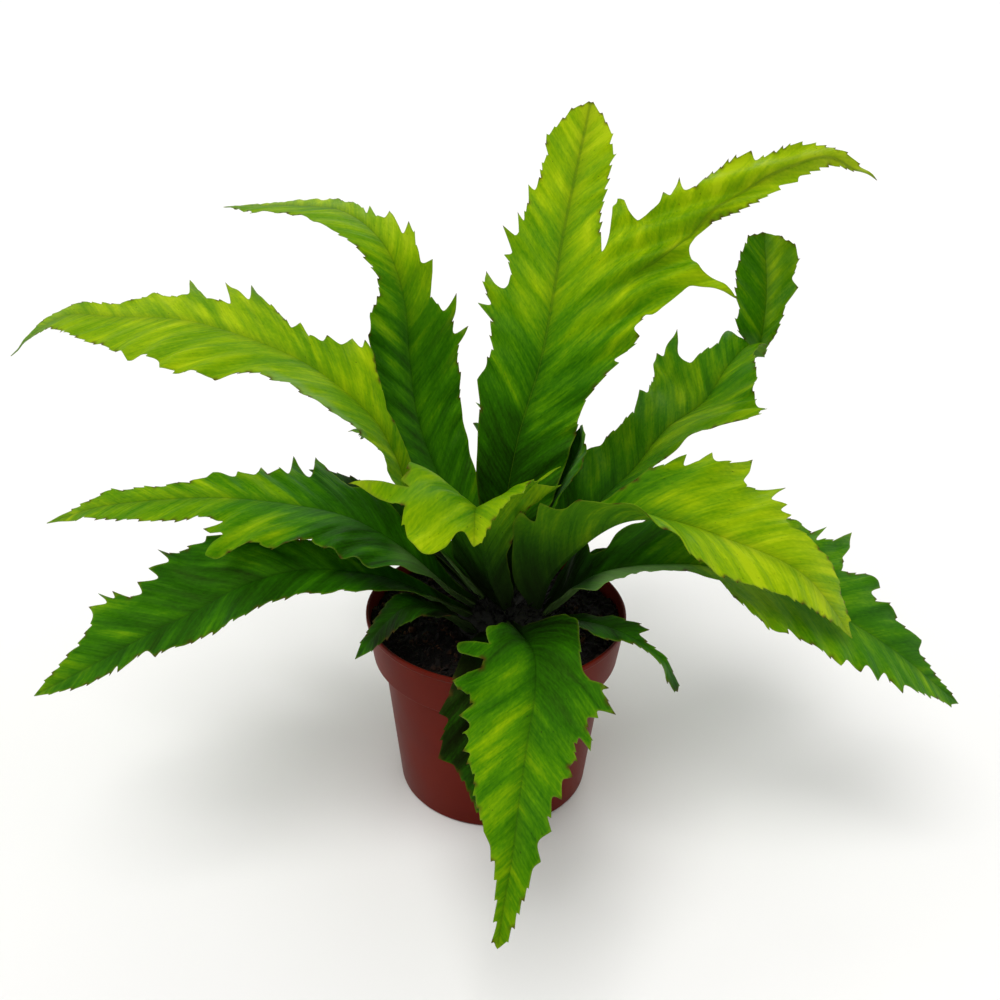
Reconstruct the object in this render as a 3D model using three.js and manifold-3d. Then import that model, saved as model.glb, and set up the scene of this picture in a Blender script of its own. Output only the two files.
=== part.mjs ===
// Birds nest fern with cut, forked fronds, growing in a round nursery pot.
// Millimetres, +Z up. The origin is the middle of the pot's flat base, and -Y is the front.

import * as THREE from 'three';
import { mergeVertices } from 'three/addons/utils/BufferGeometryUtils.js';
import Module from 'manifold-3d';

const wasm = await Module();
wasm.setup();

// Driving dimensions of the pot
const POT_HEIGHT = 92;
const RIM_RADIUS = 60;
const BAND_HEIGHT = 21.5;
const BAND_FOOT_RADIUS = 57;
const BODY_TOP_RADIUS = 52.5;
const BASE_RADIUS = 45;
const POT_WALL = 1.3;
const POT_SIDES = 64;
const DRAIN_HOLES = 6;
const DRAIN_RADIUS = 3.5;
const DRAIN_RING = 27;
const EDGE_ROUND = 0.8;
const BASE_ROUND = 2;

// Driving dimensions of the soil and of the rootstock that the fronds grow from
const SOIL_LEVEL = 87;
const SOIL_ROUGHNESS = 0.7;
const SOIL_DIP = 1.5;
const SOIL_RINGS = 9;
const SOIL_SIDES = 48;
const FIT_GAP = 0.3;
const CROWN_RADIUS = 23;
const CROWN_TOP = 100;
const CROWN_DEPTH = 18;
const CROWN_FOOT = 0.7;
const CROWN_X = 5;
const CROWN_Y = -4;
const CROWN_SIDES = 36;

// Driving dimensions of a frond's blade
const BLADE = 0.9;
const KEEL = 1.5;
const KEEL_TIP = 0.2;
const RIB_STEP = 7;
const MARGIN_STEP = 8;
const VEIN_SLANT = 0.6;
const RIPPLE_HEIGHT = 1.1;
const RIPPLE_LENGTH = 15;
const RIPPLE_REACH = 25;
const RIPPLE_MOST = 1.3;
const RIPPLE_SHIFT = 1.3;
const TOOTH_SPACING = 6;
const TOOTH_HEIGHT = 1.8;
const TOOTH_LEAN = 0.3;
const TEETH_START = 0.3;
const LOBE_REACH = 0.38;
const LOBE_WIDTH = 0.14;
const SLIVER = 0.5;

const CURVE_SAMPLES = 200;
const DEGREE = Math.PI / 180;

// Materials, one for each finish that the eye tells apart
function finish(color, roughness) {
  return new THREE.MeshStandardMaterial({ color, roughness, metalness: 0 });
}

const terracottaPlastic = finish('#8f4a38', 0.55);
const compost = finish('#24180f', 0.95);
const rootstock = finish('#33240f', 0.9);
const brightFrond = finish('#93bb1c', 0.45);
const greenFrond = finish('#64991c', 0.45);
const deepFrond = finish('#3f7a1a', 0.45);

// The fronds. Each one is written down as it would be pressed flat and then bent:
//   heading  the compass direction it grows in, in degrees from +X towards +Y
//   rib      points that its midrib passes through, from the rootstock to the tip
//   roll     degrees that the blade leans to one side, at even steps from base to tip
//   fold     degrees that each half rises from the midrib, at even steps
//   curl     degrees that each half turns down again for each millimetre out, at even steps
//   left and right   the two margins, as [distance along the rib, distance out from it], and
//            a third value marks a tip: 1 a sharp tooth, 2 a blunt lobe
//   fork     a side branch of the blade, in the same terms, along its own flat midline. The word
//            'fork' in a margin marks where it grows out.
const FRONDS = [
  {
    name: 'frond_back_forked', material: brightFrond, heading: 80,
    rib: [[6, 2, 98], [3, 6, 134], [8, 14, 170], [17, 26, 201], [22, 40, 226], [26, 56, 249],
      [31, 72, 272], [38, 92, 303]],
    roll: [0, 0, -8, 0], fold: [40, 15, 5, 5], curl: [0, 0.3, 0.3, 0.3],
    left: [[0, 3], [25, 8], [42, 12], [54.5, 15], [70, 17.5], [82, 19.5], [93.5, 24.5, 1],
      [101, 23], [110, 21.5], [117, 24], [124, 24.5], [132.5, 33.5, 1], [133, 28], [137.5, 30.5],
      [143, 32], [150, 33.5, 1], [143, 27.5], [141, 23], [148, 20.5], [154, 22.5], [157.5, 26, 1],
      [159, 22.5], [170, 28.5, 1], [166, 22], [167.5, 20.5], [177.5, 23.5, 1], [173.5, 19.5],
      [181, 18.5], [190.5, 21, 1], [188, 17], [193, 15], [200.5, 15.5], [204, 14], [209, 16],
      [213.5, 15.5], [217.5, 13], [222, 10], [227, 7]],
    right: [[0, 3], [25, 11], [50, 22], [73, 24.5], [84, 24.5], [93, 24], [99, 24], [104, 26.5],
      [109.5, 30], [115, 34.5, 1], [116, 32], [120, 36.5], [123, 39], [126, 41, 1], [128.5, 38.5],
      [132.5, 41], 'fork', [165, 18], [170.5, 16], [180, 14.5], [202.5, 14.5], [208.5, 15],
      [213, 12.5], [217.5, 12.5], [223, 8.5], [227, 5]],
    fork: {
      line: [[148, -30.5], [164, -48.5], [186, -62], [205, -77], [220, -94], [231, -113],
        [230, -138]],
      left: [[0, 17.5], [2.5, 19], [8.5, 26.5], [15, 34.5], [28.5, 36.5], [32, 34], [24, 27],
        [25.5, 22.5], [35, 21], [41, 20], [45.5, 22.5, 1], [46, 18.5], [54, 23, 1], [50.5, 16],
        [55, 13.5], [61.5, 14.5], [70, 15], [77.5, 14.5], [84, 14, 1], [84, 10], [88, 9.5],
        [93.5, 10.5, 1], [94, 9.5], [101.5, 10], [112.5, 7], [120.5, 4.5], [126, 4], [133, 3]],
      right: [[0, 17.5], [3, 19], [8, 18.5], [12.5, 18], [16.5, 17.5], [20.5, 17.5], [23, 21],
        [27.5, 35, 1], [27.5, 28], [26.5, 17], [28, 8], [31, 4.5], [38.5, 2.5], [48.5, 2.5],
        [61.5, 6.5], [72, 8], [78, 8], [86, 8.5, 1], [87, 5.5], [97, 7, 1], [99, 4.5], [111, 3.5],
        [123, 1.5], [131, 1]],
    },
  },
  {
    name: 'frond_back_left', material: greenFrond, heading: 138,
    rib: [[-1, 3, 98], [-27, 29, 142], [-38, 40, 168], [-42, 46, 195], [-44, 46, 223],
      [-52, 49, 246], [-71, 65, 257], [-95, 86, 255], [-140, 127, 245]],
    roll: [0, -18, -15, -5, 0], fold: [35, 15, 5, 5], curl: [0, 0.3, 0.5, 0.5],
    left: [[0, 2.5], [35, 10], [69, 19.5], [87, 17.5], [98, 19], [121.5, 19], [133, 21, 1],
      [136.5, 19.5], [143, 17], [149.5, 11.5], [157.5, 10], [168.5, 11.5], [184, 14],
      [198.5, 17, 1], [205, 15.5], [232.5, 15], [248, 14], [268, 8]],
    right: [[0, 2.5], [30, 9], [51.5, 16], [62.5, 17.5], [70, 19], [83, 20.5], [94, 21.5],
      [103, 22.5], [111, 23], [119, 23.5], [127, 30, 1], [124.5, 23], [130, 22], [141, 26, 1],
      [135.5, 18.5], [142, 12.5], [156.5, 18.5, 1], [157, 12.5], [164, 13.5], [170, 17],
      [175.5, 18.5, 1], [171.5, 11], [186.5, 17, 1], [182, 10], [185, 7.5], [194.5, 12.5, 1],
      [190.5, 7], [208.5, 11.5], [231.5, 15], [248, 12], [266.5, 5.5]],
  },
  {
    name: 'frond_left_high', material: brightFrond, heading: 166,
    rib: [[-6, -2, 98], [-35, 7, 133], [-46, 5, 166], [-58, 6, 186], [-87, 13, 206],
      [-132, 26, 217], [-170, 38, 215], [-200, 48, 211], [-230, 55, 190]],
    roll: [0, -12, -18, -20], fold: [35, 20, 5, 5], curl: [0, 0.3, 0.5, 0.5],
    left: [[0, 2.5], [35, 10], [75.5, 17], [80, 16.5], [89.5, 15], [96, 16], [101, 18.5],
      [121, 20], [134.5, 20], [147.5, 20.5], [154.5, 26], [163, 31, 1], [165, 30.5], [171, 31.5],
      [177, 31], [182, 31.5], [188, 33.5, 1], [193, 27.5], [198, 27], [209.5, 28, 1], [214.5, 24],
      [226.5, 19.5], [236.5, 17], [246.5, 14], [254, 11.5], [266, 6.5], [280, 2.5]],
    right: [[0, 2.5], [35, 7], [63.5, 7], [79.5, 6.5], [98.5, 8], [112.5, 18.5], [119, 24.5],
      [125, 28.5, 1], [124, 24], [129.5, 27, 1], [131, 18], [138, 19.5, 1], [138, 14.5],
      [143.5, 14], [150.5, 19.5, 1], [152, 14.5], [156.5, 18], [167, 23.5], [183, 36.5, 1],
      [177.5, 23], [196, 36.5, 1], [183, 17.5], [193.5, 16.5], [212.5, 34.5, 1], [203.5, 19],
      [207.5, 15.5], [220, 18.5], [226, 14.5], [235, 10], [244.5, 8.5], [254.5, 8.5], [265.5, 8],
      [280, 5]],
  },
  {
    name: 'frond_left_forked', material: greenFrond, heading: 187,
    rib: [[-10, -6, 97], [-21, -7, 105], [-41, -10, 127], [-64, -12, 143], [-89, -16, 151],
      [-118, -19, 155], [-146, -23, 155], [-169, -25, 152], [-189, -28, 146]],
    roll: [-5, -12, -12, -10], fold: [35, 15, 5, 5], curl: [0, 0.3, 0.5, 0.5],
    left: [[0, 2.5], [26, 12], [50, 29], [56, 33], [71.5, 33.5], [83.5, 27.5], [88.5, 23],
      [98, 29], [107.5, 28], [119.5, 32], [130, 36, 2], [123.5, 24.5], [132.5, 20.5, 1],
      [124.5, 15.5], [135, 13.5], [149.5, 14.5], [163, 12.5], [187, 5]],
    right: [[0, 2.5], [20, 6], [39, 12], [47, 13], [53, 15], [58, 17], [63.5, 19], [69, 18.5],
      [74, 17.5], [80, 22.5], [83, 25], [88.5, 35, 1], [91, 18], [99.5, 33, 1], [100.5, 19],
      [105, 21], [109.5, 18], [113, 23, 1], [114.5, 16], [122, 18, 1], [123.5, 13.5],
      [131.5, 15, 1], [134.5, 12.5], [140.5, 10], [155, 8.5], [173.5, 9], [182, 5], [190, 3.5]],
  },
  {
    name: 'frond_left_low', material: deepFrond, heading: 202,
    rib: [[-12, -10, 94], [-21, -14, 101], [-49, -26, 122], [-79, -38, 132], [-103, -48, 130],
      [-121, -55, 122], [-139, -62, 115], [-162, -72, 105], [-183, -80, 96]],
    roll: [-5, -20, -28, -25], fold: [35, 20, 15, 10], curl: [0, 0.3, 0.5, 0.5],
    left: [[0, 2.5], [30, 10], [46.5, 12.5], [61.5, 16.5], [80.5, 15.5], [101.5, 15],
      [113.5, 15.5], [124, 14], [137.5, 13], [149.5, 11], [153, 12, 1], [155, 7.5], [159, 7],
      [168.5, 10, 1], [168, 6.5], [171.5, 8], [181, 7], [187, 6], [196, 3]],
    right: [[0, 2.5], [20, 4], [45, 6], [68.5, 14], [84, 13.5], [101.5, 18.5], [115, 28, 1],
      [117, 25], [122, 25.5], [132, 29.5], [136.5, 34, 1], [133.5, 25], [142.5, 27, 1],
      [140.5, 21], [148, 23, 1], [148, 17.5], [152.5, 18.5], [158, 26, 1], [158.5, 22],
      [163.5, 28.5, 1], [161.5, 21], [169, 24.5, 1], [168.5, 21], [170.5, 15.5], [178.5, 10.5],
      [184.5, 8], [188.5, 6], [196, 3]],
  },
  {
    name: 'frond_rim_left', material: greenFrond, heading: 217,
    rib: [[-10, -19, 91], [-24, -29, 107], [-37, -36, 114], [-47, -41, 108], [-59, -49, 95]],
    roll: [0, 0, 0], fold: [25, 10, 5], curl: [0, 0.3, 0.5],
    left: [[0, 2.2], [15, 9], [30, 15], [39, 12], [48, 9], [57, 7], [65, 5]],
    right: [[0, 2.2], [17, 6], [40, 8], [48, 7], [56, 5], [66, 3]],
  },
  {
    name: 'frond_front', material: brightFrond, heading: 270,
    rib: [[6, -20, 94], [15, -62, 111], [16, -84, 107], [13, -104, 98], [10, -126, 89],
      [8, -141, 79], [5, -154, 66], [3, -163, 54]],
    roll: [0, 0, 0], fold: [75, 35, 12, 12, 15], curl: [0, 0.3, 0.3],
    left: [[0, 3], [20, 4], [27, 9], [32, 14], [37, 20], [46, 21.5], [51.5, 20], [57.5, 18.5],
      [63, 19], [67, 21.5], [70.5, 29, 1], [71, 26.5], [73.5, 28.5], [77.5, 32, 1], [77.5, 25],
      [80, 25.5, 1], [80, 21.5], [83, 21.5], [88, 24], [94, 24, 1], [88, 19.5], [90.5, 17.5],
      [98, 18.5], [101, 16.5], [105, 18.5, 1], [107, 15], [114.5, 15.5, 1], [114, 12], [121, 11],
      [126, 13, 1], [130, 8.5], [136, 10.5, 1], [138.5, 8], [145, 7], [154, 5], [164, 3]],
    right: [[0, 3], [22, 4], [30, 8], [36, 13.5], [43, 17], [48, 22], [53, 19.5], [55.5, 33, 2],
      [60.5, 27], [61, 22], [64, 22], [67.5, 27.5], [72, 32.5], [78, 29], [78.5, 25], [81, 23],
      [86.5, 27.5, 1], [90, 22.5], [93, 23.5], [95, 22], [100, 23.5, 1], [101, 20.5], [105.5, 20],
      [108.5, 17.5], [117, 16], [125, 12.5], [129, 11.5, 1], [133.5, 8.5], [138.5, 6], [144.5, 4],
      [151, 2.5], [158, 1.5], [165, 1.5]],
  },
  {
    name: 'frond_front_under', material: deepFrond, heading: 256,
    rib: [[0, -23, 91], [-2, -42, 101], [-3, -64, 103], [-4, -82, 92], [-4, -90, 76],
      [-4, -94, 60], [-3, -97, 51]],
    roll: [0, 0, 0], fold: [25, 15, 10], curl: [0, 0.4, 0.4],
    left: [[0, 2.2], [20, 6], [45, 10], [60, 13], [70, 16, 1], [72, 11], [90, 7]],
    right: [[0, 2.2], [20, 6], [45, 12], [57, 14], [65, 18, 1], [67, 14], [75, 16], [83, 18, 1],
      [85, 12], [92, 7]],
  },
  {
    name: 'frond_rim_right', material: deepFrond, heading: 330,
    rib: [[20, -15, 91], [34, -22, 99], [48, -29, 101], [62, -37.5, 99], [72, -44.5, 94],
      [78.5, -48, 81]],
    roll: [0, 0, 0], fold: [25, 10, 5], curl: [0, 0.3, 0.5],
    left: [[0, 2.2], [17, 4], [28.5, 5], [33.5, 7], [39, 7], [45, 9], [49.5, 10, 1], [47.5, 4.5],
      [52, 2], [56.5, 2], [63.5, 2], [70, 2.5], [77, 2]],
    right: [[0, 2.2], [23, 8], [33.5, 12], [39.5, 10], [43.5, 5.5], [48.5, 3], [56, 2.5],
      [62.5, 4], [71, 3.5], [77, 1.5]],
  },
  {
    name: 'frond_middle_curled', material: brightFrond, heading: 262,
    rib: [[4, -11, 98], [-3, -17, 118], [-6, -24, 140], [-8, -34, 159], [-9, -47, 166],
      [-9, -58, 164], [-9, -65, 160]],
    roll: [0, 0, 0, 0], fold: [30, 42, 35, 20], curl: [0, 0.2, 0.2, 0.2],
    left: [[0, 4], [9, 7.5], [18, 9], [31, 10], [42, 15], [54, 22], [63, 37.5, 1], [64, 27],
      [67, 28], [73, 37, 1], [72, 27], [80, 23], [84, 20], [84, 16], [86.5, 15], [88, 11],
      [92, 7.5], [95.5, 5.5], [98.5, 4.5], [100.5, 2.5]],
    right: [[0, 6], [7, 13], [13, 18], [20, 23], [31, 25], [50, 25], [62, 28], [74, 33], [81, 30],
      [84, 32, 1], [84.5, 28.5], [88.5, 51, 1], [90, 36], [90.5, 32], [91.5, 28], [97, 27.5],
      [108.5, 18.5, 2], [98, 7.5], [96.5, 4]],
  },
  {
    name: 'frond_back_right', material: greenFrond, heading: 44,
    rib: [[14, 5, 97], [35, 25, 114], [49, 38, 129], [65, 54, 138], [82, 70, 153], [103, 90, 160],
      [116, 103, 175], [128, 115, 182], [133, 120, 174], [136, 123, 183], [135, 121, 210],
      [129, 116, 240]],
    roll: [0, 0, 0], fold: [30, 25, 22, 8], curl: [0, 0.3, 0.5],
    left: [[0, 2.5], [20, 9.5], [38, 18], [50, 21], [60, 22], [74, 23.5], [85, 21], [99.5, 19],
      [107.5, 18], [120, 27, 1], [121.5, 22.5], [135.5, 29.5], [155, 37.5, 1], [155, 32],
      [170.5, 36.5, 1], [158.5, 26], [157, 18.5], [163, 15.5], [172.5, 12], [190, 18, 1],
      [186, 10], [192, 5], [198, 4.5], [201.5, 8.5], [206, 12.5], [212, 15], [217.5, 14],
      [224.5, 16.5], [240, 16.5], [251, 12.5], [260, 8]],
    right: [[0, 2.5], [33, 15], [55, 16], [74, 14.5], [85, 15.5], [92.5, 17], [101, 21],
      [111, 23.5], [117, 33], [123.5, 40.5], [128, 44], [138, 43, 1], [139, 36], [150, 28.5],
      [159, 24], [171, 12], [185, 7], [194, 5], [200, 5.5], [212, 10.5], [226.5, 13],
      [239, 21.5, 1], [241, 16], [253.5, 20.5], [260, 17], [263, 10]],
  },
  {
    name: 'frond_right_light', material: brightFrond, heading: 344,
    rib: [[18, -7, 96], [24, -9, 115], [39, -14, 136], [54, -18, 148], [71, -23, 151],
      [93, -29, 147], [126, -39, 136], [150, -46, 109]],
    roll: [0, 0, 25, 20], fold: [70, 55, 10, 5], curl: [0, 0.3, 0.5],
    left: [[0, 2.5], [20, 6], [38, 7], [52, 10.5], [62.5, 12], [71, 16.5], [75.5, 21.5],
      [79.5, 23.5], [86.5, 31.5, 1], [86.5, 27], [90.5, 31], [94.5, 38, 1], [96.5, 31.5],
      [101.5, 34], [110, 43.5, 1], [110.5, 37], [109, 29.5], [111, 26.5], [115, 28.5],
      [126.5, 37, 1], [122.5, 27], [129, 28, 1], [127.5, 24], [132, 25, 1], [130.5, 20.5],
      [132.5, 17], [139.5, 18.5], [146, 16.5], [155.5, 15], [160.5, 11], [168.5, 8.5],
      [175, 3.5]],
    right: [[0, 2.5], [10, 12], [22, 22], [30, 26], [44, 38, 1], [42, 27], [50, 32, 1], [52, 27],
      [60, 26, 1], [61, 24], [70, 24], [80, 25], [92, 25], [107, 23], [114, 21], [126, 18],
      [136, 16], [147, 13], [159, 9], [171, 3]],
  },
  {
    name: 'frond_right_low', material: deepFrond, heading: 350,
    rib: [[22, -8, 93], [29, -8, 101], [48, -12, 119], [82, -18, 127], [114, -23, 123],
      [144, -29, 112], [176, -34, 93], [204, -39, 71]],
    roll: [0, 15, 25, 25], fold: [30, 20, 10, 10], curl: [0, 0.3, 0.5],
    left: [[0, 2.5], [14, 12], [22, 17], [31.5, 18.5], [32.5, 11.5], [38, 10.5], [40.5, 12.5],
      [44, 17.5], [50, 21.5], [64.5, 26], [77.5, 29], [99.5, 33], [112, 34], [122, 35],
      [128, 42, 1], [124, 30], [131, 33.5], [140, 46, 1], [141, 39], [138, 29], [138.5, 21.5],
      [146, 25], [150.5, 28], [159, 26, 1], [155, 20.5], [158, 17.5], [164, 19], [169.5, 15],
      [174, 13], [184, 14.5, 1], [184.5, 7.5], [192, 5], [199.5, 3], [207, 1.5]],
    right: [[0, 2.5], [20, 10], [26, 16.5], [32, 26], [35.5, 31], [40, 24], [45.5, 15.5],
      [54, 9.5], [62, 6.5], [73, 5.5], [80, 8], [87, 8.5], [94, 18], [98, 20.5], [103.5, 24.5],
      [107, 27], [112, 26.5], [121, 26.5, 1], [121, 22.5], [128, 23], [143, 23], [148, 25, 1],
      [150.5, 20.5], [158.5, 21.5, 1], [160, 17.5], [168, 20, 1], [169.5, 15], [173, 17],
      [180.5, 19, 1], [181, 14], [188, 12], [199.5, 7], [208, 3.5]],
  },
  {
    name: 'frond_young', material: greenFrond, heading: 35,
    rib: [[9, 4, 99], [17, 8, 122], [27, 11, 148], [35, 14, 166], [36, 15, 177]],
    roll: [0, 0, 0], fold: [45, 40, 30], curl: [0, 0, 0],
    left: [[0, 2], [25, 4], [50, 5], [66, 4.5], [76, 5], [80, 3]],
    right: [[0, 2], [25, 5], [38, 12], [45, 17], [52, 18], [63, 19], [70, 19], [78, 18], [84, 12],
      [86, 5]],
  },
  {
    name: 'frond_left_narrow', material: greenFrond, heading: 160,
    rib: [[-9, 4, 97], [-30, 14, 116], [-55, 20, 133], [-88, 28, 147]],
    roll: [0, -10, 0], fold: [30, 15, 5], curl: [0, 0.3, 0.4],
    left: [[0, 2.2], [20, 5], [45, 8], [62, 9], [70, 12, 1], [72, 8], [88, 5]],
    right: [[0, 2.2], [20, 5], [45, 8], [60, 14, 1], [62, 8], [80, 7], [92, 4]],
  },
  {
    name: 'frond_rear_middle', material: greenFrond, heading: 86,
    rib: [[6, 10, 97], [9, 40, 126], [12, 80, 141], [14, 120, 138], [16, 160, 120],
      [18, 192, 94]],
    roll: [0, 0, 0], fold: [35, 15, 5], curl: [0, 0.3, 0.5],
    left: [[0, 2.5], [25, 9], [50, 17], [75, 20], [90, 27, 1], [92, 19], [112, 21], [125, 28, 1],
      [127, 19], [150, 16], [162, 21, 1], [164, 13], [185, 8], [205, 4]],
    right: [[0, 2.5], [25, 9], [50, 17], [70, 20], [82, 27, 1], [85, 20], [105, 22], [118, 29, 1],
      [120, 20], [140, 18], [154, 23, 1], [156, 14], [180, 10], [203, 4]],
  },
  {
    name: 'frond_rear_left', material: deepFrond, heading: 121,
    rib: [[-3, 8, 97], [-17, 34, 122], [-36, 67, 137], [-55, 101, 137], [-72, 134, 122],
      [-79, 148, 110]],
    roll: [0, 0, 0], fold: [35, 15, 5], curl: [0, 0.3, 0.5],
    left: [[0, 2.5], [25, 8], [50, 14], [72, 17], [88, 24, 1], [90, 17], [108, 18], [120, 24, 1],
      [122, 15], [142, 12], [154, 15, 1], [156, 8]],
    right: [[0, 2.5], [25, 8], [50, 14], [78, 18], [94, 25, 1], [96, 17], [114, 18], [128, 22, 1],
      [130, 13], [150, 8], [160, 5]],
  },
  {
    name: 'frond_rear_far_left', material: deepFrond, heading: 148,
    rib: [[-11, 6, 94], [-38, 22, 112], [-72, 42, 116], [-102, 60, 104], [-127, 75, 82]],
    roll: [0, 0, 0], fold: [30, 15, 5], curl: [0, 0.3, 0.5],
    left: [[0, 2.2], [25, 8], [48, 12], [60, 18, 1], [63, 12], [80, 13], [90, 18, 1], [93, 10],
      [112, 7], [130, 4]],
    right: [[0, 2.2], [25, 8], [50, 13], [66, 19, 1], [68, 13], [84, 13], [97, 18, 1], [100, 9],
      [118, 6], [132, 4]],
  },
  {
    name: 'frond_rear_right', material: deepFrond, heading: 17,
    rib: [[23, 2, 92], [53, 13, 112], [91, 25, 116], [123, 37, 102], [150, 47, 80],
      [169, 54, 56]],
    roll: [0, 0, 0], fold: [30, 15, 5], curl: [0, 0.3, 0.5],
    left: [[0, 2.2], [25, 8], [33, 8], [41, 5], [50, 9], [68, 18, 1], [70, 13], [88, 15],
      [100, 22, 1], [102, 15], [120, 12], [132, 17, 1], [135, 9], [155, 5]],
    right: [[0, 2.2], [25, 8], [50, 15], [62, 21, 1], [65, 15], [82, 17], [94, 23, 1], [97, 15],
      [114, 13], [126, 18, 1], [128, 9], [150, 5]],
  },
];

// A smooth curve through points of any number of values each, read by its share from 0 to 1
function smoothValue(points, share) {
  const last = points.length - 1;
  const place = Math.min(Math.max(share, 0), 1) * last;
  const step = Math.min(Math.floor(place), last - 1);
  const part = place - step;
  return points[0].map((unused, axis) => {
    const at = (index) => {
      if (index < 0) return 2 * points[0][axis] - points[1][axis];
      if (index > last) return 2 * points[last][axis] - points[last - 1][axis];
      return points[index][axis];
    };
    const [before, from, to, after] = [at(step - 1), at(step), at(step + 1), at(step + 2)];
    const leave = (to - before) / 2;
    const arrive = (after - from) / 2;
    return from + leave * part + (3 * (to - from) - 2 * leave - arrive) * part ** 2
      + (2 * (from - to) + leave + arrive) * part ** 3;
  });
}

// The same curve, read by the distance along it
class Path {
  constructor(points) {
    this.points = points;
    this.reached = [0];
    let previous = smoothValue(points, 0);
    for (let i = 1; i <= CURVE_SAMPLES; i += 1) {
      const next = smoothValue(points, i / CURVE_SAMPLES);
      const step = next.map((value, axis) => value - previous[axis]);
      this.reached.push(this.reached[i - 1] + Math.hypot(...step));
      previous = next;
    }
    this.length = this.reached[CURVE_SAMPLES];
  }

  share(distance) {
    if (distance <= 0) return 0;
    if (distance >= this.length) return 1;
    const after = this.reached.findIndex((value) => value > distance);
    const before = this.reached[after - 1];
    return (after - 1 + (distance - before) / (this.reached[after] - before)) / CURVE_SAMPLES;
  }

  point(distance) {
    return smoothValue(this.points, this.share(distance));
  }

  direction(distance) {
    const nudge = 0.2 / CURVE_SAMPLES;
    const share = this.share(distance);
    const ahead = smoothValue(this.points, Math.min(share + nudge, 1));
    const behind = smoothValue(this.points, Math.max(share - nudge, 0));
    const step = ahead.map((value, axis) => value - behind[axis]);
    const size = Math.hypot(...step);
    return step.map((value) => value / size);
  }
}

// Repeatable random draws, one series for each frond
function drawSeries(seed) {
  let state = seed;
  return () => {
    state = (Math.imul(state, 1664525) + 1013904223) >>> 0;
    return state / 4294967296;
  };
}

// A frond pressed flat: points as [along, out], with left positive, and the triangles between
class FlatFrond {
  constructor() {
    this.points = [];
    this.faces = [];
    this.seen = new Map();
  }

  point(along, out, onRib = false) {
    const key = `${along.toFixed(2)} ${out.toFixed(2)}`;
    if (!this.seen.has(key)) {
      this.seen.set(key, this.points.length);
      this.points.push({ along, out, onRib });
    }
    return this.seen.get(key);
  }

  face(a, b, c) {
    if (a === b || b === c || c === a) return;
    this.faces.push(this.turn(a, b, c) > 0 ? [a, b, c] : [a, c, b]);
  }

  // Twice the area of a triangle, more than 0 where its corners turn left
  turn(a, b, c) {
    const [p, q, r] = [a, b, c].map((index) => this.points[index]);
    return (q.along - p.along) * (r.out - p.out) - (r.along - p.along) * (q.out - p.out);
  }

  // Fills between two rows of points that run the same way, the second on the given side
  fill(nearRow, farRow, side) {
    let near = 0;
    let far = 0;
    while (near < nearRow.length - 1 || far < farRow.length - 1) {
      const [nearNow, nearNext] = [nearRow[near], nearRow[near + 1]];
      const [farNow, farNext] = [farRow[far], farRow[far + 1]];
      const nearRoom = nearNext ? side * this.turn(nearNow.index, nearNext.index, farNow.index) : 0;
      const farRoom = farNext ? side * this.turn(nearNow.index, farNext.index, farNow.index) : 0;
      const nearFirst = nearNext && farNext && nearNext.place <= farNext.place;
      const nearBest = farRoom < SLIVER || (nearFirst && nearRoom > SLIVER);
      const stepNear = !farNext || (nearNext && nearBest);
      if (stepNear) {
        this.face(nearNow.index, nearNext.index, farNow.index);
        near += 1;
      } else {
        this.face(nearNow.index, farNext.index, farNow.index);
        far += 1;
      }
    }
  }

  // A tooth on the margin from a to b: a sharp one is a triangle, a blunt lobe has two shoulders
  tooth(a, tip, b, blunt) {
    if (!blunt) {
      this.face(a, tip, b);
      return;
    }
    const [p, q, r] = [a, tip, b].map((index) => this.points[index]);
    const shoulder = (near, far) => this.point(
      q.along + LOBE_REACH * (near.along - q.along) + LOBE_WIDTH * (near.along - far.along),
      q.out + LOBE_REACH * (near.out - q.out) + LOBE_WIDTH * (near.out - far.out),
    );
    const [first, second] = [shoulder(p, r), shoulder(r, p)];
    this.face(a, first, b);
    this.face(first, second, b);
    this.face(first, tip, second);
  }
}

// Splits long stretches of a margin and gives them small teeth that lean to the tip
function serrate(margin, length, random) {
  const edge = [margin[0]];
  margin.slice(1).forEach((next, index) => {
    const previous = margin[index];
    const gap = Math.hypot(next[0] - previous[0], next[1] - previous[1]);
    const onward = next[0] > previous[0];
    const plain = onward && !previous[2] && !next[2] && !previous.pressed && !next.pressed;
    const pieces = plain ? Math.max(1, Math.round(gap / MARGIN_STEP)) : 1;
    for (let piece = 1; piece <= pieces; piece += 1) {
      const share = piece / pieces;
      const end = piece === pieces ? next : [0, 1].map((axis) => (
        previous[axis] + (next[axis] - previous[axis]) * share));
      const growth = Math.min(1, Math.max(0, end[0] / length - TEETH_START) * 5);
      const height = (0.4 + 0.6 * random()) * TOOTH_HEIGHT * growth;
      if (plain && height > TOOTH_HEIGHT / 3 && gap / pieces > TOOTH_SPACING / 2) {
        edge.push([end[0] + TOOTH_LEAN * height, end[1] + height, 1]);
      }
      edge.push(end);
    }
  });
  return edge;
}

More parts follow.
